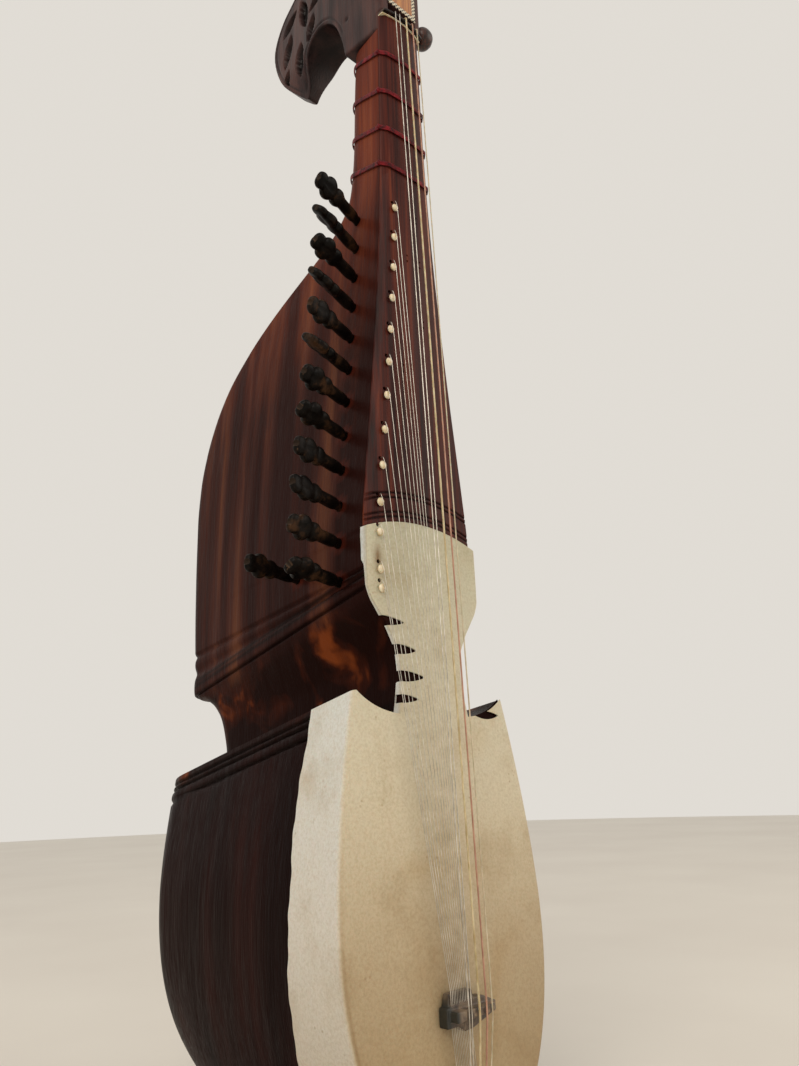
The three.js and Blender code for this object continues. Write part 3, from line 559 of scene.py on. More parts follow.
belly = hide(SKIN_THICK + GLUE_LINE)
carve(belly, as_shape(hide(GLUE_LINE)))
z = np.linspace(-6, 362, 260)
knife = 0.8 * np.sin(z / 13) + 0.5 * np.sin(z / 5.3 + 1) + 0.3 * np.sin(z / 2.1)
fold_depth = through(z, np.array([-6, 10, 34, 66, 236, 246, 251, 300, 316, 320, 362]),
                     np.array([5, 9, 26, 38, 37, 33, 1.5, 2.2, 3.5, 6, 6.0]))
carve(belly, block((-100, 100), (-60, fold_depth + knife * step_between(fold_depth, 2, 12)),
                   (z, z)), "INTERSECT")


def slab(x, y0, y1, low, high):
    """A closed plate seen from the front: at each X it fills Z from low to high, and it
    reaches from depth y0 to depth y1."""
    corners = [(y0, low), (y1, low), (y1, high), (y0, high)]
    rows = [np.stack(np.broadcast_arrays(x, float(y), z), -1) for y, z in corners]
    return rings_to_mesh(np.stack(rows, 1))


def board_end(x, gap=0.0):
    """Height of the arc where the board ends and the hide begins."""
    return SKIN_END_Z + np.sqrt(np.maximum(0, (SKIN_END_RADIUS + gap) ** 2 - np.square(x)))


x = np.linspace(-80, 80, 161)
carve(belly, slab(x, -60, 120, -20.0, board_end(x)), "INTERSECT")
# The hide doesn't cover the ledge behind the shoulder tips.
carve(belly, slab(np.array([-52.0, 52.0]), 2.2, 60, 220.0, 262.0))
# Each slit: outer end, inner end, height there and half its width.
SLITS = [(-52, -19, 285, 2.8), (-40, -11, 269.5, 2.9), (-40, -6, 254.5, 3.1),
         (-40, -12, 242, 2.4), (33, 56, 235, 2.4)]
part = np.linspace(0.02, 0.98, 41)
slits = []
for x0, x1, z, half in SLITS:
    bulge = half * np.sin(np.pi * part) ** 0.8
    slits.append(slab(x0 + (x1 - x0) * part, -30, 2.0, z - bulge, z + bulge))
carve(belly, joined(*slits))
# Bone saddles stand in a row inside the left edge, and each string's hole is above its saddle.
SADDLE_INSET = 8.2
STRING_HOLE = 1.3
saddle_z = np.append(566 - PEG_PITCH * np.arange(10), (336, 314, 303))
saddle_x = SADDLE_INSET - station(saddle_z, 2)
hole_x, hole_z = saddle_x - 0.8, saddle_z + 4.5
holes = [rod((px, -20, pz), (px, 2, pz), STRING_HOLE) for px, pz in zip(hole_x[10:], hole_z[10:])]
carve(belly, joined(*holes))
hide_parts("skin")
belly.name = "rawhide_belly"
spot = points_of(belly)
behind = spot[:, 1] - face_y(spot[:, 2])
# The wrap over the sides is marked for its painted light.
mark(belly, "side", step_between(behind, 0.2, 3.5))
torn = np.exp(-(((spot[:, 0] + 38) / 2.6) ** 2 + ((spot[:, 2] - 321.5) / 6.5) ** 2))
fold = np.exp(-((behind - 0.6) / 0.9) ** 2) * (0.75 - 0.6 * step_between(spot[:, 2], 60, 200))
mark(belly, "worn", np.clip(torn * 0.9 * (behind < 2) + fold, 0, 1))
dress(belly, rawhide, 40)

# ---- Fingerboard --------------------------------------------------------------------------
# A 5 mm plate of stained wood closes the neck and upper chamber. Its edges are chamfered, two
# pairs of lines are scored along its lower arc, and small sound holes are pricked in pairs.
NUT_Z = 732
JOINT_Z = 721
CHAMFER = 3.4


def stained_wood(name, broad, narrow, pores, stops, cut, gloss, bump, **sockets):
    """A stained wood. Blotches of stain and fine grain add up to one tone, which picks the
    colour, and places marked by the attribute cut are painted darker, as shade in cuts and
    grooves. The grain breaks up the gloss, and pores stand up as a bump. Broad, narrow and
    pores are arguments of streaks."""
    made, tree, shader = finish_of(name, **sockets)
    blotch, grain = streaks(tree, *broad), streaks(tree, *narrow)
    tone = add(tree, "Math", {0: grain, 1: 0.35, 2: blotch}, operation="MULTIPLY_ADD")
    shade = add(tree, "ValToRGB", {"Fac": tone.outputs[0]}, stops)
    attribute, code = cut
    marked = add(tree, "Attribute", attribute_name=attribute)
    dark = add(tree, "Mix", {0: marked.outputs["Fac"], 6: shade.outputs[0], 7: linear(code)},
               data_type="RGBA")
    tree.links.new(dark.outputs[2], shader.inputs["Base Color"])
    low, high, smooth, rough = gloss
    shine = add(tree, "MapRange", {"Value": grain, 1: low, 2: high, 3: smooth, 4: rough})
    tree.links.new(shine.outputs[0], shader.inputs["Roughness"])
    strength, distance = bump
    open_pores = add(tree, "Bump", {"Height": streaks(tree, *pores), "Strength": strength,
                                    "Distance": distance})
    tree.links.new(open_pores.outputs[0], shader.inputs["Normal"])
    return made


# Walnut-brown stain on open-pored wood, rubbed with shellac that has dulled.
# The scored lines are painted near black as shade.
board_wood = stained_wood(
    "stained board wood, french polish", (6, 220, 3.0, 12.0), (1.1, 70, 3.0, 17.0),
    (0.8, 16, 4.0, 5.0), [(0.48, "#210e0c"), (0.62, "#381713"), (0.74, "#4d2018"), (0.88, "#69311f")],
    ("scored", "#0d0505"), (0.35, 0.7, 0.3, 0.5), (0.3, 0.0005),
    IOR=1.5, Specular_IOR_Level=0.08, Coat_Weight=0.03, Coat_Roughness=0.2)


def neck_half(z):
    """Half the width of the board, which stays the same beside the head."""
    return station(np.minimum(z, JOINT_Z), 2)


def board_front(x, z):
    """The board is a little bowed across, most at the nut."""
    camber = 0.8 + 1.5 * (z - 340) / (NUT_Z - 340)
    return 0.5 - camber * (1 - (x / (neck_half(z) - CHAMFER)) ** 2)


GAP = 0.3
BOARD_TOP = NUT_Z - GAP
BOARD_THICK = 5.0
END_HALF = 44


def up_board(x, up):
    """Heights that run from the arc at X, where up is 0, to the nut, where up is 1."""
    arc = board_end(x, GAP)
    return arc + (BOARD_TOP - arc) * up


# Rows are close over the scored lines, and wider apart above them.
rise = np.concatenate([np.arange(0, 24, 0.4), np.linspace(25, BOARD_TOP - board_end(0, GAP), 120)])
up = (rise / rise[-1])[:, None]
sweep = np.linspace(-1, 1, 71)
front_x = sweep * (neck_half(up_board(END_HALF * sweep, up)) - CHAMFER)
front_z = up_board(front_x, up)
edge_z = np.repeat(up_board(END_HALF + GAP, up), 3, 1)
edge_half = neck_half(edge_z)
edge_y = np.broadcast_to([0.5 + CHAMFER, 4.6, BOARD_THICK], edge_z.shape)
back_z = up_board(-END_HALF * sweep, up)
back_x = -sweep * (neck_half(back_z) - 0.5)
board = np.concatenate([
    np.stack([front_x, board_front(front_x, front_z), front_z], -1),
    np.stack([edge_half, edge_y, edge_z], -1),
    np.stack([back_x, np.full_like(back_x, BOARD_THICK), back_z], -1),
    np.stack([-edge_half, edge_y, edge_z], -1)[:, ::-1]], 1)
past_arc = np.hypot(board[..., 0], board[..., 2] - SKIN_END_Z) - SKIN_END_RADIUS
# Distances of the scored lines from the arc. They stop at the foot of the chamfer.
LINES = (3.2, 6.0, 15.0, 17.8)
LINES_BACK = 4.2
board[..., 1] -= grooves(past_arc, LINES, 0.5, 0.8) * (board[..., 1] < LINES_BACK)
fingerboard = piece("stained_fingerboard", *rings_to_mesh(board), board_wood, "board_wood",
                    replaces=["fingerboard"])
# Sound holes, a pair one above the other at each place.
SOUND_HOLES = [(5, 566), (-5, 532), (7, 532), (20, 529), (8, 487), (21, 488), (-12, 449),
               (9, 449), (27.5, 442), (27.5, 402)]
pricks = [rod((px, -9, pz + dz), (px, 3.5, pz + dz), 0.75, 10)
          for px, pz in SOUND_HOLES for dz in (-2.2, 2.2)]
pricks += [rod((px, -9, pz), (px, 9, pz), STRING_HOLE) for px, pz in zip(hole_x[:10], hole_z[:10])]
carve(fingerboard, joined(*pricks))
spot = points_of(fingerboard)
past_arc = np.hypot(spot[:, 0], spot[:, 2] - SKIN_END_Z) - SKIN_END_RADIUS
# Painted shade: the scored lines go near black.
mark(fingerboard, "scored", -grooves(past_arc, LINES, 0.7, 0.85) * (spot[:, 1] < LINES_BACK))
dress(fingerboard, board_wood)

# ---- Headstock ----------------------------------------------------------------------------
# Carved from its own block and glued to the neck. It runs back over an arch and down to a
# beak. Leaves are cut into both sides of the hook, and a raised rim follows its edge.
HEAD_HALF = 19.5
HEAD_OUTER = [(-0.5, 735.3), (0, 800), (3, 858), (14, 876), (34, 880), (62, 871), (88, 858),
              (112, 847), (134, 837), (146, 817), (144, 794), (132, 768), (112, 745), (104, 738)]
HEAD_INNER = [(104, 738), (99, 749), (96, 760), (90, 771), (80, 777), (66, 775), (54, 763),
              (46, 743), (42, 724)]
# Leaves on the hook: middle, half length, half width, and the turn from upright in degrees.
LEAVES = [(98, 815, 18, 6.6, -14), (86, 789, 12, 5.6, 24), (124, 797, 16, 6.4, 20),
          (105, 774, 15, 6.4, 12), (121, 824, 13, 5.6, 62), (127, 769, 10, 4.4, 30),
          (74, 838, 16, 5.6, 80), (76, 812, 14, 5.0, 70), (52, 856, 14, 5.2, 78),
          (54, 826, 16, 6.0, 58), (30, 846, 16, 5.6, 20), (36, 806, 16, 5.4, -20)]
# The same recipe on walnut, stained darker and more dully, with painted shade, near black, in the cuts
# and under the arch.
head_wood = stained_wood(
    "carved walnut, dark stain", (10, 90, 3.0, 21.0), (1.3, 40, 3.0, 27.0),
    (1.0, 14, 4.0, 31.0), [(0.48, "#1d1010"), (0.65, "#33201f"), (0.82, "#4b302c")],
    ("cut", "#080404"), (0.3, 0.7, 0.36, 0.55), (0.4, 0.0006),
    IOR=1.5, Specular_IOR_Level=0.15, Coat_Weight=0.06, Coat_Roughness=0.3)


def bend_through(points, steps):
    """A curve through points with each span leaving along the line between its neighbours."""
    points = np.asarray(points, float)
    wide = np.concatenate([[2 * points[0] - points[1]], points, [2 * points[-1] - points[-2]]])
    t = np.linspace(0, 1, steps, endpoint=False)[:, None]
    a, b, c, d = (wide[k:len(wide) - 3 + k, None] for k in range(4))
    curve = 0.5 * (2 * b + (c - a) * t + (2 * a - 5 * b + 4 * c - d) * t ** 2
                   + (3 * b - a - 3 * c + d) * t ** 3)
    return np.concatenate([curve.reshape(-1, points.shape[1]), points[-1:]])


def wear_down(made, spacing, passes):
    """Gives a piece even facets, spaced in millimetres, and rounds its corners by moving each
    point halfway to the middle of its neighbours, several times."""
    even = made.modifiers.new("even", "REMESH")
    even.mode = "VOXEL"
    even.voxel_size = spacing / 1000
    soften = made.modifiers.new("soften", "SMOOTH")
    soften.factor = 0.5
    soften.iterations = passes
    apply_modifiers(made)


def nearest(points, line):
    """How far each point is from a line of short straight steps."""
    start, step = line[:-1], np.diff(line, axis=0)
    along = np.einsum("psk,sk->ps", points[:, None] - start, step) / np.sum(step ** 2, 1)
    foot = start + np.clip(along, 0, 1)[..., None] * step
    return np.linalg.norm(points[:, None] - foot, axis=2).min(1)


outline = np.concatenate([[(5.3, 721.3), (5.3, 735.3)], bend_through(HEAD_OUTER, 12)[:-1],
                          bend_through(HEAD_INNER, 10)])
count = len(outline)
sides = [np.column_stack([np.full(count, side), outline]) for side in (-HEAD_HALF, HEAD_HALF)]
index = np.arange(count)
walls = np.stack([index, np.roll(index, -1), np.roll(index, -1) + count, index + count], -1)
faces = walls.tolist() + [index[::-1].tolist(), (index + count).tolist()]
headstock = piece("carved_headstock", np.concatenate(sides), faces, head_wood, "head_wood",
                  replaces=["headstock"])
wear_down(headstock, 1.1, 5)
spot = points_of(headstock)
y, z = spot[:, 1], spot[:, 2]
backwards = HEAD_HALF - (HEAD_HALF - 9) * step_between(y, 55, 150)
beak = step_between(y, 85, 100) * (1 - step_between(z, 738, 775))
half = backwards + (5 - backwards) * beak
on_side = step_between(np.abs(spot[:, 0]), HEAD_HALF - 1.6, HEAD_HALF - 0.9)
hollow = np.zeros(len(spot))
for cy, cz, long, wide, turn in LEAVES:
    turn = math.radians(turn)
    along = (z - cz) * math.cos(turn) - (y - cy) * math.sin(turn)
    aside = (z - cz) * math.sin(turn) + (y - cy) * math.cos(turn)
    wide_here = wide * np.sqrt(np.clip(1.1 - (along / long) ** 2, 0.05, 1))
    reach = np.hypot(along / long, aside / wide_here)
    hollow = np.maximum(hollow, 1 - step_between(reach, 0.72, 1.05))
rim_away = nearest(spot[:, 1:], outline)
hollow *= step_between(rim_away, 2.6, 4.2)
channel = np.exp(-((rim_away - 3.6) / 0.8) ** 2) * step_between(z, 742, 752)
dimple = np.exp(-(((y - 39) / 1.8) ** 2 + ((z - 757) / 1.8) ** 2))
relief = 5.4 * hollow + 0.9 * channel + 1.2 * dimple
spot[:, 0] *= (half - relief * on_side) / HEAD_HALF
headstock.data.vertices.foreach_set("co", to_frame(spot).ravel())
# Painted shade: the leaves, the channel and the dimple go near black, and the inner face of the arch is
# painted dark as its shadow.
under_arch = (nearest(spot[:, 1:], bend_through(HEAD_INNER, 10)) < 1.2) * (1 - on_side)
carved = np.clip(1.1 * hollow + 0.6 * channel + 0.7 * dimple, 0, 0.95) * on_side
mark(headstock, "cut", np.maximum(carved, 0.7 * under_arch))
# The pegbox is a chamber behind the head's face, and the strings enter it by a slot.
PEGBOX_Z = np.array([735.4, 862])
SLOT_Z = np.array([734.3, 745.3])
carve(headstock, block((-11, 11), (7, 27), (PEGBOX_Z, PEGBOX_Z)))
carve(headstock, block((-14, 14), (-10, 10), (SLOT_Z, SLOT_Z)))
# Each long peg's height, and the side its knob is on.
LONG_PEGS = [(762, 1), (780, -1), (800, -1), (820, 1), (842, 1)]
LONG_PEG_Y = 16
LONG_PEG_RADIUS = 3.8
bores = [rod((-side * 16.2, LONG_PEG_Y, z), (side * 26, LONG_PEG_Y, z), LONG_PEG_RADIUS + 0.2, 28)
         for z, side in LONG_PEGS]
carve(headstock, joined(*bores))
dress(headstock, head_wood, 50)

# ---- Inlaid plate -------------------------------------------------------------------------
# A thin plate of satinwood is let into the front of the headstock over the pegbox. A chequered
# strip of ebony and bone runs round it. It stands 0.6 mm proud of the wood.
# Satinwood: golden straight grain under varnish that still shines. The chequers round it are
# 1.6 mm squares.
satinwood, tree, shader = finish_of("satinwood inlay, varnished", Roughness=0.4, IOR=1.5,
                                    Coat_Weight=0.3, Coat_Roughness=0.2)
shade = add(tree, "ValToRGB", {"Fac": streaks(tree, 2, 50, 4.0, 41.0)}, [
    (0.35, "#8a4d1f"), (0.65, "#c08038")])
where = add(tree, "TexCoord").outputs["Object"]
squares = add(tree, "TexChecker", {"Vector": where, "Color1": linear("#ded3b8"),
                                   "Color2": linear("#17100c"), "Scale": 620.0})
border = add(tree, "Attribute", attribute_name="border")
inlaid = add(tree, "Mix", {0: border.outputs["Fac"], 6: shade.outputs[0],
                           7: squares.outputs["Color"]}, data_type="RGBA")
tree.links.new(inlaid.outputs[2], shader.inputs["Base Color"])
PLATE_HALF = 14
PLATE_Z = (745.8, 855)
x, z = np.meshgrid(np.linspace(-PLATE_HALF, PLATE_HALF, 39), np.linspace(*PLATE_Z, 110))
front_edge = bend_through(HEAD_OUTER[:4], 12)
y = np.interp(z, front_edge[:, 1], front_edge[:, 0])
PROUD = 0.6
sheet = np.stack([x, y - PROUD, z], -1)
under = np.stack([x, y + 0.1, z], -1)[:, ::-1]
plate = piece("inlaid_plate", *rings_to_mesh(np.concatenate([sheet, under], 1)), satinwood,
              "head_wood")
spot = points_of(plate)
inset = np.minimum(PLATE_HALF - np.abs(spot[:, 0]),
                   np.minimum(spot[:, 2] - PLATE_Z[0], PLATE_Z[1] - spot[:, 2]))
mark(plate, "border", 1 - step_between(inset, 3.0, 3.4))

# ---- Nut ----------------------------------------------------------------------------------
# A dark rosewood bar across the top of the board, bowed like the board, with a rounded top
# and five notches. A thin strip of bone is let into its lower edge.
# Rosewood: nearly black from oil and hands, with fine streaks, and paler where edges are bare.
rosewood, tree, shader = finish_of("oiled rosewood, worn", IOR=1.5, Specular_IOR_Level=0.2,
                                   Coat_Weight=0.08, Coat_Roughness=0.25)
shade = add(tree, "ValToRGB", {"Fac": streaks(tree, 1.2, 20, 4.0, 51.0)}, [
    (0.35, "#0b0706"), (0.55, "#170d0a"), (0.75, "#38211a")])
edge = add(tree, "NewGeometry")
bare = add(tree, "MapRange", {"Value": edge.outputs["Pointiness"], 1: 0.52, 2: 0.6, 4: 0.6})
edges = add(tree, "Mix", {0: bare.outputs[0], 6: shade.outputs[0], 7: linear("#5a4234")},
            data_type="RGBA")
tree.links.new(edges.outputs[2], shader.inputs["Base Color"])
smear = add(tree, "TexNoise", {"Vector": add(tree, "TexCoord").outputs["Object"],
                               "Scale": 120.0, "Detail": 4.0})
gloss = add(tree, "MapRange", {"Value": smear.outputs["Fac"], 1: 0.3, 2: 0.7, 3: 0.3, 4: 0.55})
tree.links.new(gloss.outputs[0], shader.inputs["Roughness"])
# Bone: cream with faint darker streaks, polished, and slightly see-through.
bone, tree, shader = finish_of("polished bone", Roughness=0.35, IOR=1.54,
                               Subsurface_Weight=0.1, Subsurface_Scale=0.001)
shade = add(tree, "ValToRGB", {"Fac": streaks(tree, 1.5, 8, 3.0, 61.0)}, [
    (0.35, "#c9b48a"), (0.6, "#e9dec4")])
tree.links.new(shade.outputs[0], shader.inputs["Base Color"])
# Where each string lies across the nut and the bridge, and its radius.
LONG_STRINGS = [(-10.5, -8, 0.3), (-6.8, -6, 0.3), (-0.8, -0.4, 0.6), (6.2, 5.2, 0.5),
                (11.8, 9.6, 0.4)]


def nut_top(x):
    """The nut's top follows the board's bow."""
    return -5 + 3 * (np.asarray(x) / HEAD_HALF) ** 2


def nut_bar(z0, z1, lift):
    """A bar across the neck whose section is a rounded oblong from the board to its top."""
    x = np.linspace(GAP - HEAD_HALF, HEAD_HALF - GAP, 241)[:, None]
    turn = np.linspace(0, 2 * np.pi, 40, endpoint=False)
    notch = sum(r * np.exp(-((x - at) / (r + 0.1)) ** 4) for at, _, r in LONG_STRINGS)
    top, foot = nut_top(x) + lift + notch * 0.3, 4.6
    round_z = np.sign(np.cos(turn)) * np.abs(np.cos(turn)) ** 0.45
    round_y = np.sign(np.sin(turn)) * np.abs(np.sin(turn)) ** 0.3
    y = (top + foot) / 2 + (foot - top) / 2 * round_y
    return rings_to_mesh(np.stack(np.broadcast_arrays(
        x, y, (z0 + z1) / 2 + (z1 - z0) / 2 * round_z), -1))


piece("rosewood_nut", *nut_bar(732.9, 735.0, 0), rosewood, "dark_wood", replaces=["nut"])
piece("bone_nut_line", *nut_bar(732.1, 732.8, 2.4), bone, "bone")

# ---- Bridge -------------------------------------------------------------------------------
# Cut from one piece of horn: a wide foot that stands skewed on the hide, a ridge that carries
# the five long strings, and a low comb behind it for the thirteen thin ones. Its corners are
# worn round, and the left end of the foot has gone green-black.
BRIDGE_Z = 92
# Horn: clouds of grey and brown, slightly see-through, fine scratches, and painted shade, near black,
# in its slots and notches.
horn, tree, shader = finish_of("worn grey-brown horn", IOR=1.55, Coat_Weight=0.1,
                               Coat_Roughness=0.35, Subsurface_Weight=0.05,
                               Subsurface_Scale=0.002)
where = add(tree, "TexCoord").outputs["Object"]
cloud = add(tree, "TexNoise", {"Vector": where, "Scale": 190.0, "Detail": 6.0, "Roughness": 0.6,
                               "Distortion": 0.6})
shade = add(tree, "ValToRGB", {"Fac": cloud.outputs["Fac"]}, [
    (0.35, "#382c25"), (0.52, "#615142"), (0.7, "#8a775f")])
axes = add(tree, "SeparateXYZ", {"Vector": where})
left = add(tree, "MapRange", {"Value": axes.outputs["X"], 1: -0.015, 2: -0.0125, 3: 1.0, 4: 0.0})
stained = add(tree, "Mix", {0: left.outputs[0], 6: shade.outputs[0], 7: linear("#1c1d18")},
              data_type="RGBA")
cut = add(tree, "Attribute", attribute_name="cut")
worn = add(tree, "Mix", {0: cut.outputs["Fac"], 6: stained.outputs[2], 7: linear("#1a120d")},
           data_type="RGBA")
tree.links.new(worn.outputs[2], shader.inputs["Base Color"])
rough = add(tree, "MapRange", {"Value": cloud.outputs["Fac"], 1: 0.3, 2: 0.7, 3: 0.4, 4: 0.65})
tree.links.new(rough.outputs[0], shader.inputs["Roughness"])
scratch = add(tree, "Bump", {"Height": streaks(tree, 3, 0.6, 3.0, 71.0), "Strength": 0.25,
                             "Distance": 0.0003})
tree.links.new(scratch.outputs[0], shader.inputs["Normal"])


def plan(outline, y0, y1):
    """An outline drawn on the face, in X and the height over the bridge line, made solid
    from depth y0 to y1."""
    outline = np.asarray(outline, float)
    rows = [np.column_stack([outline[:, 0], np.full(len(outline), y), BRIDGE_Z + outline[:, 1]])
            for y in (y0, y1)]
    return rings_to_mesh(np.stack(rows))


BRIDGE_TOP = -24.6
COMB_TOP = -17.8
foot_y = float(face_y(np.array(BRIDGE_Z))) - 0.9
bridge = piece("horn_bridge", *plan([(-17, -11), (-9, -11), (-4, -14), (2, -13.5), (20, -8.5),
                                     (20, -4), (10, 0), (-9, 0), (-17, -2)], -19, foot_y),
               horn, "horn", replaces=["bridge"])
carve(bridge, plan([(-15.5, -8), (13, -7), (13, -3.5), (-15.5, -3)], BRIDGE_TOP, -18.5), "UNION")
carve(bridge, plan([(-15, -1), (4, -1), (3, 4), (-13.5, 4)], COMB_TOP, foot_y), "UNION")
wear_down(bridge, 0.4, 9)
COMB_LEFT, COMB_PITCH = -13.4, 1.2
slot_x = COMB_LEFT + COMB_PITCH * (12 - np.arange(13))
spot = points_of(bridge)
x, y, z = spot.T
combed = np.exp(-((x[:, None] - slot_x) / 0.3) ** 2).max(1)
combed *= (1 - step_between(y, -17.2, -16.4)) * step_between(z, 90.5, 91.5)
notched = np.max([np.exp(-((x - at) / (r + 0.15)) ** 2) for _, at, r in LONG_STRINGS], 0)
notched *= 1 - step_between(y, -24.2, -23.4)
spot[:, 1] += 0.9 * combed + 0.25 * notched
bridge.data.vertices.foreach_set("co", to_frame(spot).ravel())
# Painted shade: the comb's slots and the string notches go dark.
mark(bridge, "cut", np.clip(0.8 * combed + 0.7 * notched, 0, 1))
dress(bridge, horn, 60)

# ---- Tailpiece ----------------------------------------------------------------------------
# A small tapered bar of rosewood glued to the bottom of the belly. The strings are knotted
# in holes along its upper edge.
TAIL_TOP, TAIL_BOTTOM, TAIL_HALF = 27, 15, 13
tail_back = float(face_y(np.array(TAIL_BOTTOM))) - GAP
turn = np.linspace(0, 2 * np.pi, 120, endpoint=False)
flat_x = np.sign(np.cos(turn)) * np.abs(np.cos(turn)) ** 0.3
flat_z = np.sign(np.sin(turn)) * np.abs(np.sin(turn)) ** 0.3
rows = []
for y, grow in ((tail_back, 0), (tail_back - 4.2, 0), (tail_back - 5, -0.3), (tail_back - 5.4, -1.1)):
    taper = TAIL_HALF * (0.9 + 0.1 * flat_z) + grow
    rows.append(np.stack([taper * flat_x, np.full(120, y),
                          (TAIL_TOP + TAIL_BOTTOM) / 2 + (6 + grow) * flat_z], -1))
piece("rosewood_tailpiece", *rings_to_mesh(np.stack(rows)), rosewood, "dark_wood",
      replaces=["tailpiece"])

# ---- Tied frets ---------------------------------------------------------------------------
# Four bands of crimson gut. Each is one cord taken three times round the neck and board,
# slanting up towards the back, and knotted at the left edge. The bands can be slid.
FRET_SLANT = 0.38
FRET_WIDTH = 3.6
FRET_THICK = 1.1
SCALE_LENGTH = 640
NECK_DEPTH = 47
FRET_TRAVEL = 3
BOARD_EDGE = 0.5 + CHAMFER
KNOT_Y = 4.6
# Dyed gut: the crimson has taken unevenly, and the cord's twist stands up as slanting ridges.
red_gut, tree, shader = finish_of("crimson dyed gut", Roughness=0.42, IOR=1.5,
                                  Specular_IOR_Level=0.15)
where = add(tree, "TexCoord").outputs["Object"]
dye = add(tree, "TexNoise", {"Vector": where, "Scale": 240.0, "Detail": 4.0})
shade = add(tree, "ValToRGB", {"Fac": dye.outputs["Fac"]}, [
    (0.35, "#30050a"), (0.6, "#700d17"), (0.8, "#8c1f26")])
tree.links.new(shade.outputs[0], shader.inputs["Base Color"])
twist = add(tree, "Mapping", {"Vector": where, "Rotation": (0.5, 0.6, 0.7)})
ridges = add(tree, "TexWave", {"Vector": twist.outputs[0], "Scale": 700.0, "Distortion": 1.0})
corded = add(tree, "Bump", {"Height": ridges.outputs["Fac"], "Strength": 0.4, "Distance": 0.0002})
tree.links.new(corded.outputs[0], shader.inputs["Normal"])
part = np.linspace(0, 2 * np.pi, 36, endpoint=False)
across_band = FRET_WIDTH / 2 * np.cos(part)
cords = 0.72 + 0.28 * np.abs(np.sin(3 * np.pi * (across_band / FRET_WIDTH + 0.5)))
out_band = FRET_THICK / 2 * np.sign(np.sin(part)) * np.abs(np.sin(part)) ** 0.5 * cords
for number in (1, 2, 3, 4):
    fret_z = BRIDGE_Z + SCALE_LENGTH / 2 ** (number / 12)
    away = 0.45 + FRET_THICK / 2
    # Wide enough to pass the neck lower down, as far as a band can be pushed.
    lower = fret_z - FRET_TRAVEL - 0.2
    at_back = lower + FRET_SLANT * NECK_DEPTH
    x, y = ring(np.array([[station(lower, 2)]]) + away, np.array([[station(at_back, 3)]]) + away,
                np.array([[station(at_back, 4)]]) + away, np.array([[BOARD_EDGE]]))
    shoulder = neck_half(lower) - CHAMFER
    flat = np.linspace(-1, 1, 60) * (shoulder + 0.4 * away)
    over_board = np.column_stack([flat, board_front(flat, lower) - away])
    around = np.column_stack([x[0], y[0]])
    loop = np.concatenate([around, over_board])
    ahead, behind = np.roll(loop, -1, 0), np.roll(loop, 1, 0)
    lean = (ahead - behind) / np.linalg.norm(ahead - behind, axis=1, keepdims=True)
    normal = np.column_stack([lean[:, 1], -lean[:, 0]])
    normal *= np.sign(np.sum(normal * (loop - (0, 20))))
    ring_x = loop[:, :1] + normal[:, :1] * out_band
    ring_y = loop[:, 1:] + normal[:, 1:] * out_band
    band = np.stack([ring_x, ring_y, fret_z + FRET_SLANT * ring_y + across_band], -1)
    count, sides = band.shape[:2]
    index = np.arange(count * sides).reshape(count, sides)
    beside, after = np.roll(index, -1, 1), np.roll(index, -1, 0)
    faces = np.stack([index, beside, np.roll(beside, -1, 0), after], -1).reshape(-1, 4)
    fret = piece(f"tied_fret_{number}", band.reshape(-1, 3), faces, red_gut, "crimson_gut",
                 f"fret_{number}", [f"fret_{number}"], 70)
    up = np.linspace(-1, 1, 24)[:, None]
    knot_turn = np.linspace(0, 2 * np.pi, 24, endpoint=False)
    bulge = np.sqrt(1 - (up * 0.999) ** 2) * (1 + 0.16 * np.sin(3 * knot_turn + 4 * up))
    knot_x = -neck_half(fret_z) - 1.2 + 1.5 * bulge * np.cos(knot_turn)
    knot_y = KNOT_Y + 1.6 * bulge * np.sin(knot_turn)
    knot_z = fret_z + FRET_SLANT * KNOT_Y + 2.2 * up + 0 * knot_turn
    knot = np.stack([knot_x, knot_y, knot_z], -1)
    carve(fret, rings_to_mesh(knot), "UNION")
    dress(fret, red_gut, 70)

# ---- Long pegs ----------------------------------------------------------------------------
# Five turned pegs of brown-black wood hold the long strings, three from the right and two from
# the left. Each has a tapered shaft, a collar and a round knob with a button.
# Shisham stained black and nearly matt. Brown shows in patches and on edges that fingers rub.
peg_wood, tree, shader = finish_of("ebonised shisham, hand worn", IOR=1.5,
                                   Specular_IOR_Level=0.06, Coat_Weight=0.03,
                                   Coat_Roughness=0.25)
worn = add(tree, "TexNoise", {"Vector": add(tree, "TexCoord").outputs["Object"], "Scale": 75.0,
                              "Detail": 5.0, "Roughness": 0.6})
shade = add(tree, "ValToRGB", {"Fac": worn.outputs["Fac"]}, [
    (0.42, "#0a0807"), (0.56, "#15100d"), (0.68, "#402b1c")])
edge = add(tree, "NewGeometry")
bare = add(tree, "MapRange", {"Value": edge.outputs["Pointiness"], 1: 0.515, 2: 0.58, 4: 0.6})
edges = add(tree, "Mix", {0: bare.outputs[0], 6: shade.outputs[0], 7: linear("#55402f")},
            data_type="RGBA")
tree.links.new(edges.outputs[2], shader.inputs["Base Color"])
gloss = add(tree, "MapRange", {"Value": worn.outputs["Fac"], 1: 0.3, 2: 0.7, 3: 0.28, 4: 0.5})
tree.links.new(gloss.outputs[0], shader.inputs["Roughness"])
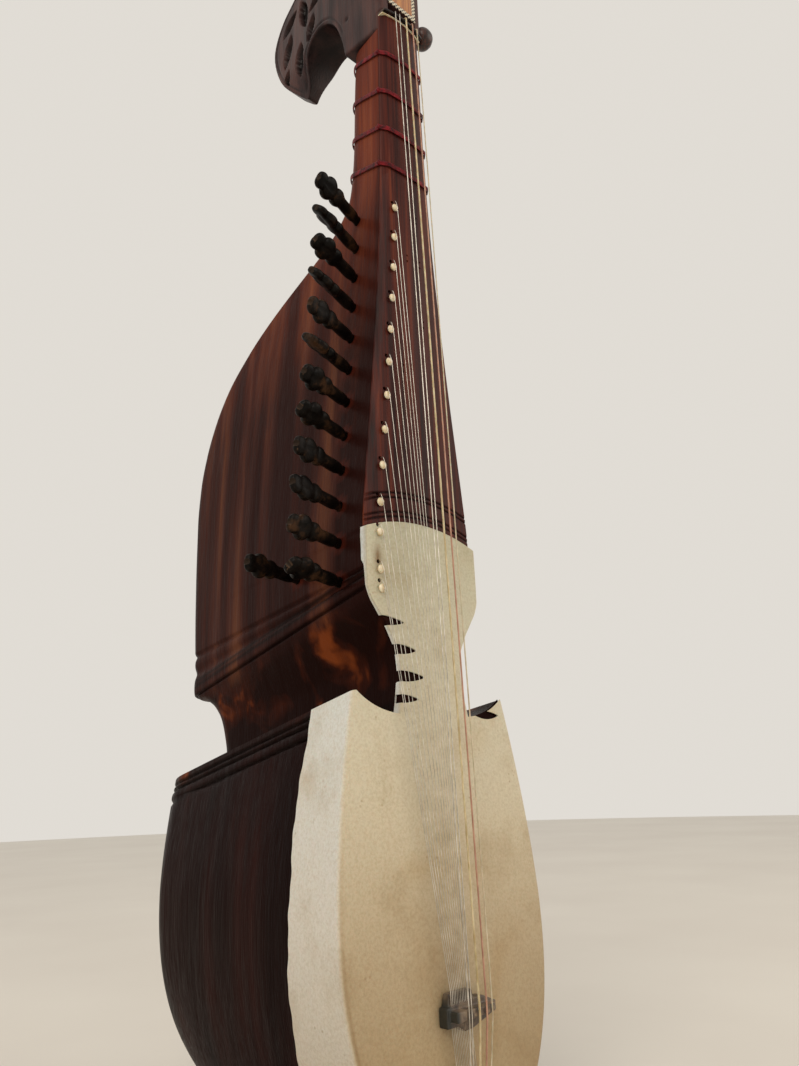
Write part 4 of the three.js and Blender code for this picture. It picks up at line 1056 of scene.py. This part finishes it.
# Shisham under oil: red-brown streaks along the grain, and a soft shine from handling.
knob_wood, tree, shader = finish_of("oiled red-brown shisham", IOR=1.5, Specular_IOR_Level=0.35,
                                    Coat_Weight=0.2, Coat_Roughness=0.15)
shade = add(tree, "ValToRGB", {"Fac": streaks(tree, 2, 16, 4.0, 91.0)}, [
    (0.38, "#1c0d09"), (0.55, "#38190f"), (0.72, "#5a2b1a")])
tree.links.new(shade.outputs[0], shader.inputs["Base Color"])
handled = add(tree, "TexNoise", {"Vector": add(tree, "TexCoord").outputs["Object"],
                                 "Scale": 130.0, "Detail": 3.0})
gloss = add(tree, "MapRange", {"Value": handled.outputs["Fac"], 1: 0.3, 2: 0.7, 3: 0.28, 4: 0.42})
tree.links.new(gloss.outputs[0], shader.inputs["Roughness"])
KNOB = [(-15.5, 3.0), (-15.3, 3.5), (25.5, 3.8), (26.2, 4.9), (27.2, 5.3), (28.3, 5.0), (30.2, 3.5),
        (31.5, 3.9), (34, 6.6), (36.5, 8.2), (39.5, 8.6), (43, 8.0), (45.6, 6.2), (46.8, 4.0),
        (47.2, 3.6), (48, 2.6), (48.5, 0.4)]
profile = bend_through(KNOB, 8)
turn = np.linspace(0, 2 * np.pi, 48, endpoint=False)
for number, (peg_height, side) in enumerate(LONG_PEGS, 1):
    along, radius = profile[:, :1], profile[:, 1:]
    turned = np.stack(np.broadcast_arrays(side * along, LONG_PEG_Y + radius * np.cos(turn),
                                          peg_height + radius * np.sin(turn)), -1)
    piece(f"turned_peg_{number}", *rings_to_mesh(turned), knob_wood, "dark_wood",
          f"long_peg_{number}", [f"long_peg_{number}"], 45)

# ---- Sympathetic pegs ---------------------------------------------------------------------
# Thirteen small pegs lean forward out of the left side. Each is one stick: a round shaft, then
# a flat head whittled into a bead, a pair of lobes and a cleft tip, no two turned alike.
HEAD_TURNS = np.radians([56, 146, 35, 140, 75, 150, 56, 45, 80, 95, 70, 40, 85])
PEG_TIP = 52
# Distance from the body's side, half width and half thickness: the shaft's bulge, the bead,
# the pair of lobes and the tip.
HEAD_SHAPE = np.array([(3.5, 3.05, 3.05), (7, 3.7, 3.7), (11, 3.9, 3.9), (20, 3.8, 3.7), (23, 4.0, 3.5),
                       (25, 4.8, 3.5), (27.5, 5.6, 3.6), (30.5, 5.5, 3.5), (32.4, 4.7, 3.3),
                       (34, 5.0, 3.3), (36, 6.6, 3.4), (38.5, 7.4, 3.4), (41.5, 7.0, 3.2),
                       (43.6, 5.4, 3.0), (45, 5.0, 2.9), (46.8, 5.4, 2.9), (48.8, 5.3, 2.7),
                       (51, 3.9, 2.0), (PEG_TIP, 0.6, 0.5)])
turn = np.linspace(0, 2 * np.pi, 48, endpoint=False)
for number in range(13):
    foot = peg_foot[number]
    end_x = (saddle_x + 5)[number]
    inside = -(end_x - foot[0]) / math.cos(PEG_TURN)
    shape = np.concatenate([[(inside, 2.8, 2.8), (-4, 3.0, 3.0)], HEAD_SHAPE])
    fine = bend_through(shape, 9)
    spin = HEAD_TURNS[number]
    flat = np.array([-math.cos(spin) * math.sin(PEG_TURN), math.cos(spin) * math.cos(PEG_TURN),
                     -math.sin(spin)])
    thick = np.cross(PEG_OUT, flat)
    # Squarer than an ellipse on the head, and round on the shaft.
    square = 1 - 0.28 * step_between(fine[:, :1], 23, 28)
    wide = fine[:, 1:2] * np.sign(np.cos(turn)) * np.abs(np.cos(turn)) ** square
    deep = fine[:, 2:] * np.sign(np.sin(turn)) * np.abs(np.sin(turn)) ** square
    crease = 0.16 * np.exp(-(wide / 0.7) ** 2) * step_between(fine[:, :1], 34, 38)
    deep *= 1 - crease * (1 - step_between(fine[:, :1], 44, 50))
    stick = (foot + fine[:, :1, None] * PEG_OUT + wide[..., None] * flat + deep[..., None] * thick)
    small_peg = piece(f"small_peg_{number + 1:02}", *rings_to_mesh(stick), peg_wood, "dark_wood",
                      f"sympathetic_peg_{number + 1:02}",
                      [f"sympathetic_peg_{number + 1:02}"], 40)
    cleft = foot + (PEG_TIP + 1.2) * PEG_OUT
    carve(small_peg, rod(cleft - 6 * thick, cleft + 6 * thick, 2.3, 24))
    dress(small_peg, peg_wood, 40)

# ---- Bone saddles -------------------------------------------------------------------------
# Thirteen little bone beads are glued down the left edge of the board and on to the belly.
# Each sympathetic string comes out of a hole above its bead and bends over it.
SADDLE_RADIUS = 2.4
SADDLE_HEIGHT = 2.6
inner_x = saddle_x + SADDLE_RADIUS
seat_y = np.where(np.arange(13) < 10, board_front(inner_x, saddle_z), face_y(saddle_z)) - GAP
bead = bend_through([(0, 1.9), (0.4, 2.2), (1.1, SADDLE_RADIUS), (1.9, 1.95), (2.4, 1.1),
                     (SADDLE_HEIGHT, 0.1)], 6)
turn = np.linspace(0, 2 * np.pi, 36, endpoint=False)
for number in range(13):
    out, radius = bead[:, :1], bead[:, 1:]
    drop = 1 + 0.12 * np.maximum(0, -np.sin(turn))
    bead_grid = np.stack(np.broadcast_arrays(
        saddle_x[number] + radius * np.cos(turn), seat_y[number] - out,
        saddle_z[number] + radius * drop * np.sin(turn)), -1)
    piece(f"bead_{number + 1:02}", *rings_to_mesh(bead_grid), bone, "bone",
          replaces=[f"bone_saddle_{number + 1:02}"], crisp=60)

# ---- Strings ------------------------------------------------------------------------------
# Two steel and three gut strings run over the nut and bridge. Thirteen thin steel strings run
# from the side pegs through the board, over the beads and through the bridge's comb. All are
# knotted in the tailpiece and pulled tight.


def string_along(points, radius, sides=14):
    """A round tube through points, with each corner eased over 0.8 mm. A ring's axes are the
    direction there crossed with X, and that crossed with the direction again."""
    points = np.asarray(points, float)
    ways = np.diff(points, axis=0)
    ways /= np.linalg.norm(ways, axis=1, keepdims=True)
    corner, before, after = points[1:-1], ways[:-1], ways[1:]
    eased = np.stack([corner - 0.8 * before, corner - 0.2 * before + 0.2 * after,
                      corner + 0.8 * after], 1).reshape(-1, 3)
    path = np.concatenate([points[:1], eased, points[-1:]])
    along = np.gradient(path, axis=0)
    along /= np.linalg.norm(along, axis=1, keepdims=True)
    first = np.cross(along, (1, 0, 0))
    first /= np.linalg.norm(first, axis=1, keepdims=True)
    second = np.cross(along, first)
    turn = np.linspace(0, 2 * np.pi, sides, endpoint=False)[:, None]
    rings = (path[:, None] + radius * np.cos(turn) * first[:, None]
             + radius * np.sin(turn) * second[:, None])
    return rings_to_mesh(rings)


# Drawn steel: bright metal with duller, slightly warmer patches where it has tarnished.
steel, tree, shader = finish_of("drawn steel wire", Metallic=1.0)
wear = add(tree, "TexNoise", {"Vector": add(tree, "TexCoord").outputs["Object"], "Scale": 150.0,
                              "Detail": 3.0})
shade = add(tree, "ValToRGB", {"Fac": wear.outputs["Fac"]}, [(0.35, "#b3aca0"), (0.65, "#e2ddd3")])
tree.links.new(shade.outputs[0], shader.inputs["Base Color"])
gloss = add(tree, "MapRange", {"Value": wear.outputs["Fac"], 1: 0.3, 2: 0.7, 3: 0.28, 4: 0.45})
tree.links.new(gloss.outputs[0], shader.inputs["Roughness"])
# Plain gut: slightly see-through, darker and paler along its twist, in three natural colours.
guts = []
for name, dark, pale in (("thick cream gut", "#a8946a", "#d3c5a0"), ("pink gut", "#99705c", "#bd917a"),
                         ("pale gut", "#a89c80", "#cfc4a9")):
    made, tree, shader = finish_of(name, Roughness=0.4, IOR=1.5, Subsurface_Weight=0.15,
                                   Subsurface_Scale=0.001)
    twist = streaks(tree, 1.2, 6, 3.0, 81.0)
    shade = add(tree, "ValToRGB", {"Fac": twist}, [(0.35, dark), (0.65, pale)])
    tree.links.new(shade.outputs[0], shader.inputs["Base Color"])
    ribbed = add(tree, "Bump", {"Height": twist, "Strength": 0.2, "Distance": 0.0002})
    tree.links.new(ribbed.outputs[0], shader.inputs["Normal"])
    guts.append(made)
string_finish = [steel, steel, *guts]
tail_y = float(face_y(np.array(TAIL_TOP)))
for number, (at_nut, at_bridge, radius) in enumerate(LONG_STRINGS):
    over_nut = float(nut_top(at_nut)) - GAP - radius
    over_bridge = BRIDGE_TOP - GAP - radius
    on_peg = LONG_PEG_Y - LONG_PEG_RADIUS - GAP - radius
    route = [(at_nut * 0.6, on_peg, LONG_PEGS[number][0]), (at_nut * 0.8, 8.5, 739),
             (at_nut, over_nut, 735.4), (at_nut, over_nut, NUT_Z),
             (at_bridge, over_bridge, BRIDGE_Z - 3), (at_bridge, over_bridge, BRIDGE_Z - 8),
             (at_bridge * 0.7, tail_y - 5, TAIL_TOP + GAP)]
    piece(f"melody_string_{number + 1}", *string_along(route, radius), string_finish[number],
          "steel" if number < 2 else "gut", replaces=[f"long_string_{number + 1}"], crisp=60)
# The routes keep room for wire of 0.25 mm radius, and the wire itself is thinner.
THIN = 0.25
THIN_WIRE = 0.19
for number in range(13):
    over = seat_y[number] - SADDLE_HEIGHT - GAP - THIN
    foot = peg_foot[number]
    wind_x = saddle_x[number] + 2.8 if number < 12 else -26
    axis_y = foot[1] + (wind_x - foot[0]) * math.tan(PEG_TURN)
    wind_y = axis_y - (PEG_RADIUS + 2 * GAP + THIN) / math.cos(PEG_TURN)
    route = [(wind_x, wind_y, foot[2])]
    if number == 12:
        route += [(-28, 22, hole_z[12] + 2), (hole_x[12], 3, hole_z[12])]
    route += [(hole_x[number], over + 1, hole_z[number]), (saddle_x[number], over, saddle_z[number]),
              (slot_x[number], COMB_TOP - GAP - THIN, BRIDGE_Z + 5),
              (slot_x[number], COMB_TOP - GAP - THIN, BRIDGE_Z - 13),
              ((slot_x[number] + 6) * 0.9, tail_y - 2.6, TAIL_TOP + GAP)]
    piece(f"drone_string_{number + 1:02}", *string_along(route, THIN_WIRE), steel, "steel",
          replaces=[f"sympathetic_string_{number + 1:02}"], crisp=60)
